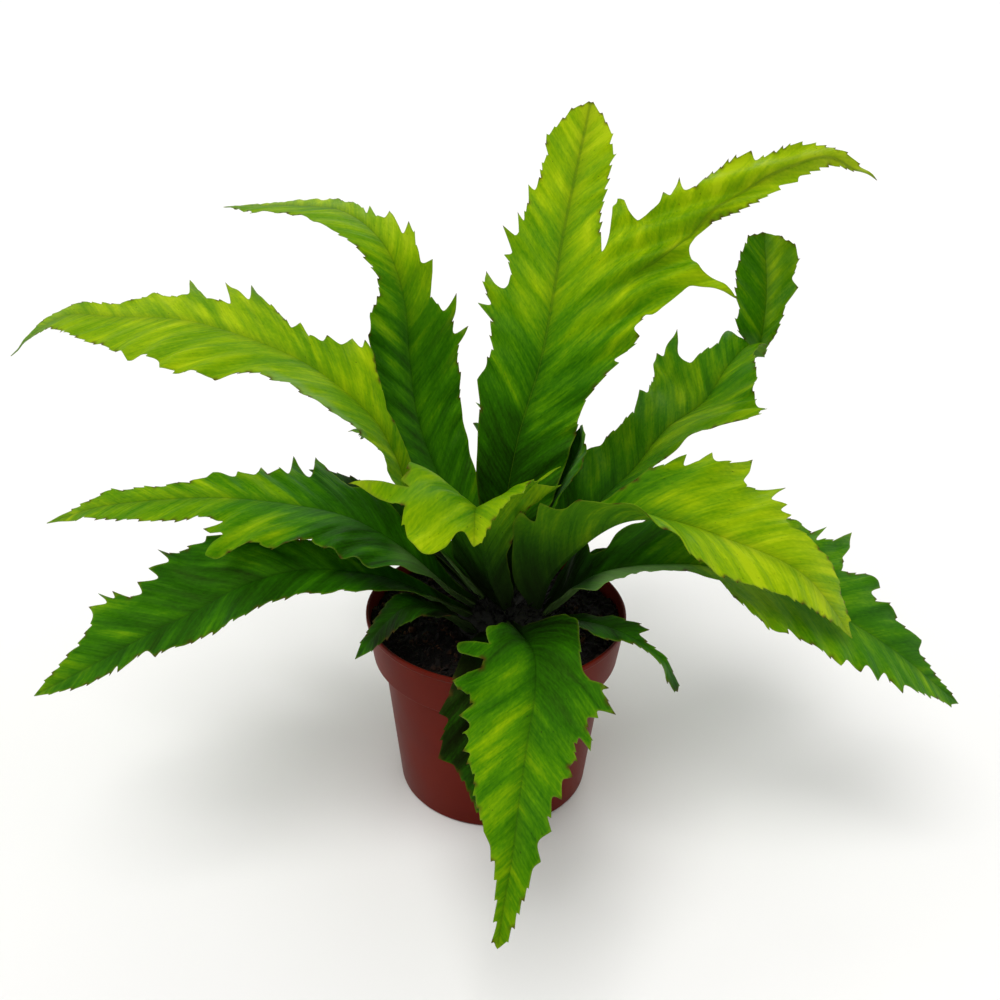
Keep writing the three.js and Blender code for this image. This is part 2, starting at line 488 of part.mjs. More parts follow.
// Lays out one strip of blade: a midline, and on each side a half-way row, the margin and its teeth
function layStrip(flat, line, margins, random) {
  const count = Math.max(4, Math.round(line.length / RIB_STEP));
  const ribRow = [];
  for (let i = 0; i <= count; i += 1) {
    const place = (line.length * i) / count;
    ribRow.push({ place, index: flat.point(...line.at(place, 0), true) });
  }
  [1, -1].forEach((side) => {
    const tip = [line.length, 0];
    const edge = serrate([...margins[side], tip], line.length, random);
    const marginRow = [];
    const halfRow = [];
    let place = 0;
    edge.forEach((corner, index) => {
      if (corner[2] > 0) return;
      place = Math.min(Math.max(place, corner[0] - VEIN_SLANT * corner[1], 0), line.length);
      if (index === edge.length - 1) place = line.length;
      const flatCorner = corner.pressed ?? line.at(corner[0], side * corner[1]);
      const foot = line.at(place, 0);
      marginRow.push({ place, index: flat.point(...flatCorner), edgeIndex: index });
      halfRow.push({
        place, index: flat.point((foot[0] + flatCorner[0]) / 2, (foot[1] + flatCorner[1]) / 2),
      });
    });
    flat.fill(ribRow, halfRow, side);
    for (let i = 1; i < marginRow.length; i += 1) {
      flat.face(halfRow[i - 1].index, halfRow[i].index, marginRow[i].index);
      flat.face(halfRow[i - 1].index, marginRow[i].index, marginRow[i - 1].index);
      const between = edge.slice(marginRow[i - 1].edgeIndex + 1, marginRow[i].edgeIndex);
      between.forEach((toothTip) => {
        const tipIndex = flat.point(...line.at(toothTip[0], side * toothTip[1]));
        flat.tooth(marginRow[i - 1].index, tipIndex, marginRow[i].index, toothTip[2] === 2);
      });
    }
  });
}

// The straight midline of a whole frond, and the curved midline of its fork
function straightLine(length) {
  return { length, at: (along, out) => [along, out] };
}

function curvedLine(points) {
  const path = new Path(points);
  const at = (along, out) => {
    const [x, y] = path.point(along);
    const [dx, dy] = path.direction(along);
    return [x - dy * out, y + dx * out];
  };
  return { length: path.length, at };
}

// Where a fork grows out, the margin follows the fork's own end row, so both share their points
function openForFork(margin, fork, line) {
  const place = margin.indexOf('fork');
  if (place < 0) return margin;
  const width = fork.left[0][1];
  const row = [-width, -width / 2, 0, width / 2, width].map((out) => {
    const flatCorner = line.at(0, out);
    const corner = [flatCorner[0], Math.abs(flatCorner[1])];
    corner.pressed = flatCorner;
    return corner;
  });
  return [...margin.slice(0, place), ...row, ...margin.slice(place + 1)];
}

// Bends the flat frond to its place in the plant, gives it its thickness and closes its edge
function bendFrond(flat, frond, path) {
  const steps = (values) => values.map((value) => [value * DEGREE]);
  const [rolls, folds, curls] = [steps(frond.roll), steps(frond.fold), steps(frond.curl)];
  const heading = frond.heading * DEGREE;
  const sideways = new THREE.Vector3(-Math.sin(heading), Math.cos(heading), 0);
  const top = [];
  const under = [];
  flat.points.forEach(({ along, out, onRib }) => {
    const inside = Math.min(Math.max(along, 0), path.length);
    const share = inside / path.length;
    const forward = new THREE.Vector3(...path.direction(inside));
    const left = sideways.clone().addScaledVector(forward, -sideways.dot(forward)).normalize();
    const up = new THREE.Vector3().crossVectors(forward, left);
    const roll = smoothValue(rolls, share)[0];
    const leftRolled = left.clone().multiplyScalar(Math.cos(roll))
      .addScaledVector(up, Math.sin(roll));
    const upRolled = up.clone().multiplyScalar(Math.cos(roll))
      .addScaledVector(left, -Math.sin(roll));
    const reach = Math.abs(out);
    const side = Math.sign(out);
    const fold = smoothValue(folds, share)[0];
    const curl = smoothValue(curls, share)[0];
    const mean = fold - (curl * reach) / 2;
    const wave = (2 * Math.PI * (along - VEIN_SLANT * reach)) / RIPPLE_LENGTH;
    const grown = Math.min(reach / RIPPLE_REACH, RIPPLE_MOST) ** 2;
    const ripple = RIPPLE_HEIGHT * grown * Math.sin(wave + (side > 0 ? 0 : RIPPLE_SHIFT));
    const middle = new THREE.Vector3(...path.point(inside))
      .addScaledVector(forward, along - inside)
      .addScaledVector(leftRolled, reach * Math.cos(mean) * side)
      .addScaledVector(upRolled, reach * Math.sin(mean) + ripple);
    const slope = reach > 0 ? fold - curl * reach : 0;
    const facing = upRolled.clone().multiplyScalar(Math.cos(slope))
      .addScaledVector(leftRolled, -side * Math.sin(slope));
    const keel = onRib && reach < 0.01 ? KEEL + (KEEL_TIP - KEEL) * share : 0;
    top.push(middle.clone().addScaledVector(facing, BLADE / 2));
    under.push(middle.clone().addScaledVector(facing, -BLADE / 2 - keel));
  });
  const positions = [...top, ...under].flatMap((point) => point.toArray());
  const count = flat.points.length;
  const faces = [];
  const open = new Map();
  flat.faces.forEach(([a, b, c]) => {
    faces.push(a, b, c, count + a, count + c, count + b);
    [[a, b], [b, c], [c, a]].forEach(([from, to]) => {
      if (!open.delete(`${to} ${from}`)) open.set(`${from} ${to}`, [from, to]);
    });
  });
  open.forEach(([from, to]) => {
    faces.push(count + from, count + to, to, count + from, to, from);
  });
  const geometry = new THREE.BufferGeometry();
  geometry.setAttribute('position', new THREE.Float32BufferAttribute(positions, 3));
  geometry.setIndex(faces);
  return geometry;
}

function frondGeometry(frond, seed) {
  const flat = new FlatFrond();
  const path = new Path(frond.rib);
  const random = drawSeries(seed);
  const forkLine = frond.fork ? curvedLine(frond.fork.line) : null;
  const margins = { 1: frond.left, [-1]: openForFork(frond.right, frond.fork, forkLine) };
  layStrip(flat, straightLine(path.length), margins, random);
  if (frond.fork) layStrip(flat, forkLine, { 1: frond.fork.left, [-1]: frond.fork.right }, random);
  return bendFrond(flat, frond, path);
}

// Closed meshes become solids for cutting, and solids become geometry again
function toSolid(geometry) {
  const bare = new THREE.BufferGeometry();
  bare.setAttribute('position', geometry.getAttribute('position').clone());
  if (geometry.index) bare.setIndex(geometry.index.clone());
  const merged = mergeVertices(bare, 1e-4);
  return new wasm.Manifold(new wasm.Mesh({
    numProp: 3,
    vertProperties: new Float32Array(merged.getAttribute('position').array),
    triVerts: new Uint32Array(merged.index.array),
  }));
}

function toGeometry(solid) {
  const mesh = solid.getMesh();
  const geometry = new THREE.BufferGeometry();
  const positions = new Float32Array(mesh.vertProperties);
  geometry.setAttribute('position', new THREE.BufferAttribute(positions, 3));
  geometry.setIndex(new THREE.BufferAttribute(new Uint32Array(mesh.triVerts), 1));
  return geometry;
}

// A profile of [radius, height] points turned round the Z axis
function turned(profile, sides) {
  const points = profile.map(([radius, height]) => new THREE.Vector2(radius, height));
  const geometry = new THREE.LatheGeometry(points, sides);
  geometry.rotateX(Math.PI / 2);
  return geometry;
}

// Pot: thin moulded wall, a wide band under the rim, a step below it, and drain holes in the base
function potGeometry() {
  const bandFoot = POT_HEIGHT - BAND_HEIGHT;
  const round = EDGE_ROUND;
  const inner = {
    top: RIM_RADIUS - POT_WALL - 0.5 * round,
    band: BAND_FOOT_RADIUS - POT_WALL,
    body: BODY_TOP_RADIUS - POT_WALL,
    base: BASE_RADIUS - POT_WALL,
  };
  const shell = turned([
    [0, 0], [BASE_RADIUS - BASE_ROUND, 0], [BASE_RADIUS - 0.3 * BASE_ROUND, 0.3 * BASE_ROUND],
    [BASE_RADIUS, BASE_ROUND], [BODY_TOP_RADIUS, bandFoot], [BAND_FOOT_RADIUS - round, bandFoot],
    [BAND_FOOT_RADIUS, bandFoot + round], [RIM_RADIUS, POT_HEIGHT - round],
    [RIM_RADIUS - 0.5 * round, POT_HEIGHT], [inner.top + 0.5 * round, POT_HEIGHT],
    [inner.top, POT_HEIGHT - round], [inner.band, bandFoot + POT_WALL],
    [inner.body, bandFoot + POT_WALL], [inner.base, POT_WALL + 0.5 * BASE_ROUND],
    [inner.base - 0.5 * BASE_ROUND, POT_WALL], [0, POT_WALL],
  ], POT_SIDES);
  let solid = toSolid(shell);
  for (let i = 0; i < DRAIN_HOLES; i += 1) {
    const angle = (2 * Math.PI * (i + 0.5)) / DRAIN_HOLES;
    const hole = new THREE.CylinderGeometry(DRAIN_RADIUS, DRAIN_RADIUS, 4 * POT_WALL, 16);
    hole.rotateX(Math.PI / 2);
    hole.translate(DRAIN_RING * Math.cos(angle), DRAIN_RING * Math.sin(angle), 0);
    solid = solid.subtract(toSolid(hole));
  }
  return toGeometry(solid);
}

// Rootstock: a low dome above the soil on a root ball that tapers down into it
function crownGeometry(grow) {
  const steps = 5;
  const foot = SOIL_LEVEL - CROWN_DEPTH - grow;
  const rise = CROWN_TOP - SOIL_LEVEL + grow;
  const dome = [];
  for (let i = 0; i < steps; i += 1) {
    const angle = (Math.PI / 2) * (i / steps);
    dome.push([(CROWN_RADIUS + grow) * Math.cos(angle), SOIL_LEVEL + rise * Math.sin(angle)]);
  }
  const profile = [[0, foot], [CROWN_RADIUS * CROWN_FOOT + grow, foot], ...dome, [0, SOIL_LEVEL + rise]];
  const geometry = turned(profile, CROWN_SIDES);
  geometry.translate(CROWN_X, CROWN_Y, 0);
  return geometry;
}

// Soil: fills the pot, with a lumpy top that dips at the wall and a plain hole for the rootstock
function soilHeight(x, y) {
  const lumps = Math.sin(x * 0.31 + 1) * Math.cos(y * 0.27) + Math.sin(x * 0.13 - y * 0.17 + 2);
  return SOIL_LEVEL + SOIL_ROUGHNESS * lumps - SOIL_DIP * (Math.hypot(x, y) / RIM_RADIUS) ** 4;
}

function soilGeometry() {
  const bandFoot = POT_HEIGHT - BAND_HEIGHT;
  const inset = POT_WALL + 1.5 * FIT_GAP;
  const levelShare = (SOIL_LEVEL - bandFoot) / BAND_HEIGHT;
  const innerRadius = BAND_FOOT_RADIUS + (RIM_RADIUS - BAND_FOOT_RADIUS) * levelShare;
  const topRadius = innerRadius - inset - EDGE_ROUND;
  const bottom = POT_WALL + FIT_GAP;
  const ledge = bandFoot + POT_WALL + FIT_GAP;
  const profile = [
    [0, bottom], [BASE_RADIUS - inset - BASE_ROUND / 2, bottom],
    [BASE_RADIUS - inset, bottom + BASE_ROUND], [BODY_TOP_RADIUS - inset, ledge],
    [BAND_FOOT_RADIUS - inset, ledge],
  ];
  for (let i = 0; i <= SOIL_RINGS; i += 1) {
    profile.push([topRadius * (1 - i / SOIL_RINGS), SOIL_LEVEL]);
  }
  const body = turned(profile, SOIL_SIDES);
  const position = body.getAttribute('position');
  for (let i = 0; i < position.count; i += 1) {
    if (position.getZ(i) > SOIL_LEVEL - 0.01) {
      position.setZ(i, soilHeight(position.getX(i), position.getY(i)));
    }
  }
  return toGeometry(toSolid(body).subtract(toSolid(crownGeometry(FIT_GAP))));
}

// Puts the whole plant together in its pot
const fern = new THREE.Group();

function addPiece(name, geometry, material) {
  const mesh = new THREE.Mesh(geometry, material);
  mesh.name = name;
  fern.add(mesh);
}

addPiece('pot', potGeometry(), terracottaPlastic);
addPiece('soil', soilGeometry(), compost);
addPiece('crown', toGeometry(toSolid(crownGeometry(0))), rootstock);

const crownClearance = toSolid(crownGeometry(FIT_GAP));
FRONDS.forEach((frond, index) => {
  const whole = toSolid(frondGeometry(frond, index + 1));
  addPiece(frond.name, toGeometry(whole.subtract(crownClearance)), frond.material);
});

export default fern;
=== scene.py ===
import math

import bpy
import numpy as np
from mathutils import Matrix, Vector
from mathutils.geometry import delaunay_2d_cdt


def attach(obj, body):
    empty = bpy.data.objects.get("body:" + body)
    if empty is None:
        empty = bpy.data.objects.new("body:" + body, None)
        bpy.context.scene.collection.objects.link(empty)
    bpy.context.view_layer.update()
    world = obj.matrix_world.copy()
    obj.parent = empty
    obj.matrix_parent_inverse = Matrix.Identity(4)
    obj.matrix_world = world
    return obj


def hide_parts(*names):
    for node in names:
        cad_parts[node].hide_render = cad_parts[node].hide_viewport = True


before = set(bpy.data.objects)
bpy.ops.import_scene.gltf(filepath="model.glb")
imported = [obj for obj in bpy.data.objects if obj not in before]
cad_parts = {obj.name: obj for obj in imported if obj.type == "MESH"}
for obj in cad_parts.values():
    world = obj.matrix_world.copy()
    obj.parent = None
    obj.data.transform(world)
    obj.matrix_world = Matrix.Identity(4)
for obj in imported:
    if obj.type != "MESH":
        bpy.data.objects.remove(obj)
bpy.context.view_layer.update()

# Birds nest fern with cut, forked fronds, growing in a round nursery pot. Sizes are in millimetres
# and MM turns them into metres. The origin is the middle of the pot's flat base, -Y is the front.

MM = 0.001


# Camera: an ordinary lens in front of the pot, looking down on the plant from a little above its
# top fronds, and turned slightly on its own axis. The view is that of a product picture.
CAMERA_PLACE = (0.7, -441, 369)
CAMERA_PITCH = 26.7
CAMERA_ROLL = 1.2

camera_data = bpy.data.cameras.new("camera")
camera_data.lens = 40.32
camera_data.sensor_width = 36
camera_data.clip_start = 0.01
camera_data.clip_end = 100
camera = bpy.data.objects.new("camera", camera_data)
camera.matrix_world = (
    Matrix.Translation([value * MM for value in CAMERA_PLACE])
    @ Matrix.Rotation(math.radians(90 - CAMERA_PITCH), 4, "X")
    @ Matrix.Rotation(math.radians(CAMERA_ROLL), 4, "Z")
)
bpy.context.scene.collection.objects.link(camera)
bpy.context.scene.camera = camera
bpy.context.scene.view_settings.view_transform = "Standard"


# Floor and light: a wide, pale, matt table top in an evenly lit room, with large, soft, far lamps
# above, behind and at both sides, as a product photographer sets them. They are no part of the plant.
FLOOR_HALF = 20000
ROOM_LIGHT = 0.45
LAMPS = [
    {"name": "lamp_above", "from": (-0.2, -0.3, 1), "spread": 45, "power": 1.75},
    {"name": "lamp_back", "from": (0.3, 0.9, 0.7), "spread": 40, "power": 0.55},
    {"name": "lamp_left", "from": (-1, 0.1, 0.35), "spread": 40, "power": 0.55},
    {"name": "lamp_right", "from": (1, 0.1, 0.3), "spread": 40, "power": 0.5},
]


def linear(color):
    """The linear values of an sRGB hex colour, with an alpha of 1."""
    parts = [int(color[start:start + 2], 16) / 255 for start in (1, 3, 5)]
    return [part / 12.92 if part <= 0.04045 else ((part + 0.055) / 1.055) ** 2.4
            for part in parts] + [1]


def add(tree, kind, inputs, stops=(), out=0, **settings):
    """Adds a node and gives back one of its outputs. Inputs go by name or number, each a value or
    an output to link: a map range reads between 1 and 2 and gives between 3 and 4, and a mix lays
    colour 7 over colour 6. A noise on object coordinates has so many grains to the metre."""
    made = tree.nodes.new("ShaderNode" + kind)
    for name, value in settings.items():
        setattr(made, name, value)
    for name, value in inputs.items():
        if isinstance(value, bpy.types.NodeSocket):
            tree.links.new(value, made.inputs[name])
        else:
            made.inputs[name].default_value = value
    for number, (place, color) in enumerate(stops):
        marks = made.color_ramp.elements
        mark = marks[number] if number < 2 else marks.new(place)
        mark.position = place
        mark.color = linear(color)
    return made.outputs[out] if made.outputs else None


def new_material(name):
    """An empty node material and its tree."""
    material = bpy.data.materials.new(name)
    material.use_nodes = True
    material.node_tree.nodes.clear()
    return material, material.node_tree


def new_mesh(name, points, faces, material, smooth=True):
    """An object at the origin from an array of points in millimetres and an array of faces."""
    mesh = bpy.data.meshes.new(name)
    mesh.from_pydata((np.asarray(points) * MM).tolist(), [], np.asarray(faces).tolist())
    mesh.materials.append(material)
    mesh.shade_smooth() if smooth else mesh.shade_flat()
    piece = bpy.data.objects.new(name, mesh)
    bpy.context.scene.collection.objects.link(piece)
    return piece


floor_material, tree = new_material("matt_table_top")
surface = add(tree, "BsdfPrincipled", {"Base Color": linear("#f4f3f1"), "Roughness": 0.9})
add(tree, "OutputMaterial", {"Surface": surface})
floor = new_mesh(
    "floor",
    [[FLOOR_HALF * x, FLOOR_HALF * y, 0] for x, y in [(-1, -1), (1, -1), (1, 1), (-1, 1)]],
    [[0, 1, 2, 3]],
    floor_material,
)

room = bpy.data.worlds.new("room")
room.use_nodes = True
room_light = room.node_tree.nodes["Background"]
room_light.inputs["Color"].default_value = linear("#ffffff")
room_light.inputs["Strength"].default_value = ROOM_LIGHT
bpy.context.scene.world = room

for lamp in LAMPS:
    lamp_data = bpy.data.lights.new(lamp["name"], "SUN")
    lamp_data.energy = lamp["power"]
    lamp_data.angle = math.radians(lamp["spread"])
    lamp_object = bpy.data.objects.new(lamp["name"], lamp_data)
    lamp_object.location = lamp["from"]
    lamp_object.rotation_euler = Vector(lamp["from"]).to_track_quat("Z", "Y").to_euler()
    bpy.context.scene.collection.objects.link(lamp_object)


# Pot: a thin-walled round nursery pot, injection moulded in terracotta-coloured polypropylene,
# with a wide band under its rim, a step where pots stack, and drain holes in its flat base.
POT_HEIGHT = 92
RIM_RADIUS = 60
BAND_HEIGHT = 21.5
BAND_FOOT_RADIUS = 57
BODY_TOP_RADIUS = 52.5
BASE_RADIUS = 45
POT_WALL = 1.3
POT_SIDES = 192
POT_CREASE = 40
FOOT_RING = 5
FOOT_RELIEF = 0.6
LIP_SET_OUT = 0.35
LIP_TOP, LIP_FOOT = 2.2, 2.6
DUST_DEPTH = 14
DRAIN_HOLES = 6
DRAIN_RADIUS = 3.5
DRAIN_RING = 27
DRAIN_SIDES = 48
DRAIN_REACH = 4
BAND_FOOT = POT_HEIGHT - BAND_HEIGHT


def rounded(corners, steps=5):
    """A profile whose corners are rounded: [radius, height, rounding] becomes a short curved arc
    that starts and ends at that distance from the corner, and a corner with 0 stays sharp."""
    profile = []
    for index, (radius, height, rounding) in enumerate(corners):
        corner = np.array([radius, height], float)
        if rounding == 0:
            profile.append(corner)
            continue
        before = np.array(corners[index - 1][:2], float) - corner
        after = np.array(corners[index + 1][:2], float) - corner
        start = corner + before / np.linalg.norm(before) * rounding
        end = corner + after / np.linalg.norm(after) * rounding
        for part in np.linspace(0, 1, steps):
            profile.append((1 - part) ** 2 * start + 2 * part * (1 - part) * corner + part ** 2 * end)
    return np.array(profile)


def turned(profile, sides):
    """A profile from axis to axis turned round Z: rings of points at even angles, a fan at each
    end on the axis, and triangles between neighbouring rings, so that it closes on itself."""
    rings = profile[1:-1]
    angle = np.arange(sides) * 2 * np.pi / sides
    around = np.stack([np.cos(angle), np.sin(angle)], axis=1)
    body = np.empty((len(rings), sides, 3))
    body[:, :, :2] = rings[:, None, :1] * around[None]
    body[:, :, 2] = rings[:, None, 1]
    poles = np.array([[0, 0, profile[0, 1]], [0, 0, profile[-1, 1]]])
    points = np.concatenate([body.reshape(-1, 3), poles])
    here = np.arange(sides)
    beside = (here + 1) % sides
    start = (np.arange(len(rings) - 1) * sides)[:, None]
    a, b = start + here, start + beside
    c, d = b + sides, a + sides
    walls = np.stack([np.stack([a, b, c], axis=-1), np.stack([a, c, d], axis=-1)]).reshape(-1, 3)
    last = (len(rings) - 1) * sides
    first_fan = np.stack([np.full(sides, len(points) - 2), beside, here], axis=-1)
    last_fan = np.stack([np.full(sides, len(points) - 1), last + here, last + beside], axis=-1)
    return points, np.concatenate([walls, first_fan, last_fan])


# Moulded polypropylene: a deep brick red, slightly clouded every 36 mm, with a soft satin gloss and
# a fine grain of 2.4 mm, and dulled by dust and splashed compost near the rim.
pot_material, tree = new_material("terracotta_polypropylene")
place = add(tree, "TexCoord", {}, out="Object")
clouds = add(tree, "TexNoise", {"Vector": place, "Scale": 28, "Detail": 4, "Roughness": 0.6})
base = add(tree, "ValToRGB", {"Fac": clouds}, stops=[(0.3, "#581206"), (0.7, "#641a0b")])
height = add(tree, "SeparateXYZ", {"Vector": place}, out="Z")
dust_foot, dust_top = (POT_HEIGHT - DUST_DEPTH) * MM, POT_HEIGHT * MM
near_rim = add(tree, "MapRange", {"Value": height, 1: dust_foot, 2: dust_top, 3: 0, 4: 1})
specks = add(tree, "TexNoise", {"Vector": place, "Scale": 420, "Detail": 3, "Roughness": 0.65})
dust = add(tree, "MapRange", {"Value": specks, 1: 0.52, 2: 0.7, 3: 0, 4: 0.4})
dust = add(tree, "Math", {0: dust, 1: near_rim}, operation="MULTIPLY")
color = add(tree, "Mix", {"Factor": dust, 6: base, 7: linear("#3a2218")}, out=2, data_type="RGBA")
gloss = add(tree, "MapRange", {"Value": clouds, 1: 0.3, 2: 0.7, 3: 0.36, 4: 0.46})
relief = add(tree, "Bump", {"Strength": 0.12, "Distance": 0.0002, "Height": specks})
surface = add(tree, "BsdfPrincipled", {
    "Base Color": color, "Roughness": gloss, "IOR": 1.49, "Specular IOR Level": 0.05,
    "Normal": relief})
add(tree, "OutputMaterial", {"Surface": surface})

pot_profile = rounded([
    [0, FOOT_RELIEF, 0], [BASE_RADIUS - FOOT_RING - 1, FOOT_RELIEF, 0.5],
    [BASE_RADIUS - FOOT_RING, 0, 0.5], [BASE_RADIUS, 0, 1.6],
    [BODY_TOP_RADIUS, BAND_FOOT, 0.5], [BAND_FOOT_RADIUS, BAND_FOOT, 0.9],
    [RIM_RADIUS - LIP_SET_OUT, POT_HEIGHT - LIP_FOOT, 0.4], [RIM_RADIUS, POT_HEIGHT - LIP_TOP, 0.3],
    [RIM_RADIUS, POT_HEIGHT, 0.7], [RIM_RADIUS - POT_WALL, POT_HEIGHT, 0.55],
    [BAND_FOOT_RADIUS - POT_WALL, BAND_FOOT + POT_WALL, 0.6],
    [BODY_TOP_RADIUS - POT_WALL, BAND_FOOT + POT_WALL, 0.6],
    [BASE_RADIUS - POT_WALL, POT_WALL, 1.5], [0, POT_WALL, 0],
])
pot = new_mesh("pot_moulded", *turned(pot_profile, POT_SIDES), pot_material)
drain_profile = np.array([[0, -DRAIN_REACH], [DRAIN_RADIUS, -DRAIN_REACH],
                          [DRAIN_RADIUS, DRAIN_REACH], [0, DRAIN_REACH]], float)
for hole in range(DRAIN_HOLES):
    angle = 2 * math.pi * (hole + 0.5) / DRAIN_HOLES
    points, faces = turned(drain_profile, DRAIN_SIDES)
    points = points + [DRAIN_RING * math.cos(angle), DRAIN_RING * math.sin(angle), 0]
    plug = new_mesh("drain_cutter", points, faces, pot_material)
    cut = pot.modifiers.new("drain", "BOOLEAN")
    cut.operation = "DIFFERENCE"
    cut.solver = "EXACT"
    cut.object = plug
    shown = pot.evaluated_get(bpy.context.evaluated_depsgraph_get())
    drained = bpy.data.meshes.new_from_object(shown)
    pot.modifiers.clear()
    pot.data = drained
    bpy.data.objects.remove(plug)
pot.data.set_sharp_from_angle(angle=math.radians(POT_CREASE))
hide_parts("pot")
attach(pot, "root")


# Soil: dark peat-free potting compost, pressed in by hand. It fills the pot to a few millimetres
# under the rim, sags a little at the wall, and is strewn with bark fibres and brown crumbs.
SOIL_LEVEL = 87
SOIL_ROUGHNESS = 0.7
SOIL_DIP = 1.5
SOIL_SIDES = 240
SOIL_RINGS = 80
SOIL_GRAINS = [(0.7, 2.6, 11), (0.45, 1.1, 12)]
SOIL_BEVEL = 2
FIT_GAP = 0.3
CROWN_RADIUS = 23
CROWN_TOP = 100
CROWN_DEPTH = 18
CROWN_COVER = 2
CROWN_X, CROWN_Y = 5, -4
LATTICE = 64
CRUMBS = 2400
CRUMB_LEAST, CRUMB_MOST = 0.3, 2.2
CRUMB_STRETCH = 2.6
CRUMB_HEIGHT = 0.7
CRUMB_RISE = 0.25


def grain(x, y, size, seed):
    """Smooth random heights from -1 to 1: seeded values on a square lattice of the given size,
    which repeats after LATTICE squares, eased from corner to corner by t^2 (3 - 2 t)."""
    table = np.random.default_rng(seed).uniform(-1, 1, (LATTICE, LATTICE))
    u, v = np.asarray(x) / size, np.asarray(y) / size
    i, j = np.floor(u).astype(int), np.floor(v).astype(int)
    a, b = u - i, v - j
    a, b = a * a * (3 - 2 * a), b * b * (3 - 2 * b)
    here, there, low, high = i % LATTICE, (i + 1) % LATTICE, j % LATTICE, (j + 1) % LATTICE
    near = table[here, low] * (1 - a) + table[there, low] * a
    far = table[here, high] * (1 - a) + table[there, high] * a
    return near * (1 - b) + far * b


def grains(x, y, kinds):
    """The sum of several grains, each given by its height, size and seed."""
    return sum(height * grain(x, y, size, seed) for height, size, seed in kinds)


def soil_height(x, y):
    """The top of the soil: its level, plus two slow waves, less a dip that grows with the fourth
    power of the distance from the middle, plus crumbs of two sizes."""
    lumps = np.sin(x * 0.31 + 1) * np.cos(y * 0.27) + np.sin(x * 0.13 - y * 0.17 + 2)
    dip = SOIL_DIP * (np.hypot(x, y) / RIM_RADIUS) ** 4
    return SOIL_LEVEL + SOIL_ROUGHNESS * lumps - dip + grains(x, y, SOIL_GRAINS)


def loose_material(name, noise, stops, roughness, specular, relief=None):
    """A matt, loose matter that is not damp: one noise gives its colours and, if asked, its relief."""
    material, tree = new_material(name)
    place = add(tree, "TexCoord", {}, out="Object")
    spread = add(tree, "TexNoise", {"Vector": place, **noise})
    surface = {"Base Color": add(tree, "ValToRGB", {"Fac": spread}, stops=stops),
               "Roughness": roughness, "Specular IOR Level": specular}
    if relief:
        surface["Normal"] = add(tree, "Bump", {"Height": spread, **relief})
    add(tree, "OutputMaterial", {"Surface": add(tree, "BsdfPrincipled", surface)})
    return material


# Potting compost: almost black where it is damp, with reddish brown fibres that are dry and matt,
# in lumps of about 3 mm.
soil_material = loose_material(
    "potting_compost", {"Scale": 300, "Detail": 6, "Roughness": 0.7},
    [(0.35, "#050302"), (0.55, "#0c0704"), (0.75, "#22140b")], 0.95, 0.25,
    relief={"Strength": 0.8, "Distance": 0.001})

inset = POT_WALL + 1.5 * FIT_GAP
level_share = (SOIL_LEVEL - BAND_FOOT) / BAND_HEIGHT
soil_edge = BAND_FOOT_RADIUS + (RIM_RADIUS - BAND_FOOT_RADIUS) * level_share - inset - 0.2
soil_foot = POT_WALL + FIT_GAP
ledge = BAND_FOOT + POT_WALL + FIT_GAP
soil_profile = np.array(
    [[0, soil_foot], [BASE_RADIUS - inset - SOIL_BEVEL / 2, soil_foot],
     [BASE_RADIUS - inset, soil_foot + SOIL_BEVEL], [BODY_TOP_RADIUS - inset, ledge],
     [BAND_FOOT_RADIUS - inset, ledge]]
    + [[soil_edge * (1 - ring / SOIL_RINGS), SOIL_LEVEL] for ring in range(SOIL_RINGS + 1)])
points, faces = turned(soil_profile, SOIL_SIDES)
x, y, z = points.T
on_top = z > SOIL_LEVEL - 0.01
in_hole = on_top & (np.hypot(x - CROWN_X, y - CROWN_Y) < CROWN_RADIUS - CROWN_COVER)
z[on_top] = soil_height(x[on_top], y[on_top])
z[in_hole] = SOIL_LEVEL - CROWN_DEPTH - FIT_GAP
soil = new_mesh("compost_bed", points, faces, soil_material)
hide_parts("soil")
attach(soil, "root")


def lumpy_bits(centers, sizes, seed):
    """Many small lumps as arrays: a twelve-cornered ball for each centre, its corners pushed in or
    out at random, stretched to its three sizes and turned at random."""
    draw = np.random.default_rng(seed)
    golden = (1 + 5 ** 0.5) / 2
    ball = np.array([[-1, golden, 0], [1, golden, 0], [-1, -golden, 0], [1, -golden, 0],
                     [0, -1, golden], [0, 1, golden], [0, -1, -golden], [0, 1, -golden],
                     [golden, 0, -1], [golden, 0, 1], [-golden, 0, -1], [-golden, 0, 1]])
    ball = ball / np.hypot(1, golden)
    sides = np.array([[0, 11, 5], [0, 5, 1], [0, 1, 7], [0, 7, 10], [0, 10, 11], [1, 5, 9],
                      [5, 11, 4], [11, 10, 2], [10, 7, 6], [7, 1, 8], [3, 9, 4], [3, 4, 2],
                      [3, 2, 6], [3, 6, 8], [3, 8, 9], [4, 9, 5], [2, 4, 11], [6, 2, 10],
                      [8, 6, 7], [9, 8, 1]])
    count = len(centers)
    lumps = ball[None] * draw.uniform(0.65, 1.15, (count, len(ball), 1)) * sizes[:, None]
    turn = np.linalg.qr(draw.normal(size=(count, 3, 3)))[0]
    turn[:, :, 0] *= np.sign(np.linalg.det(turn))[:, None]
    points = np.einsum("nij,nkj->nki", turn, lumps) + centers[:, None]
    faces = sides[None] + (np.arange(count) * len(ball))[:, None, None]
    return points.reshape(-1, 3), faces.reshape(-1, 3)


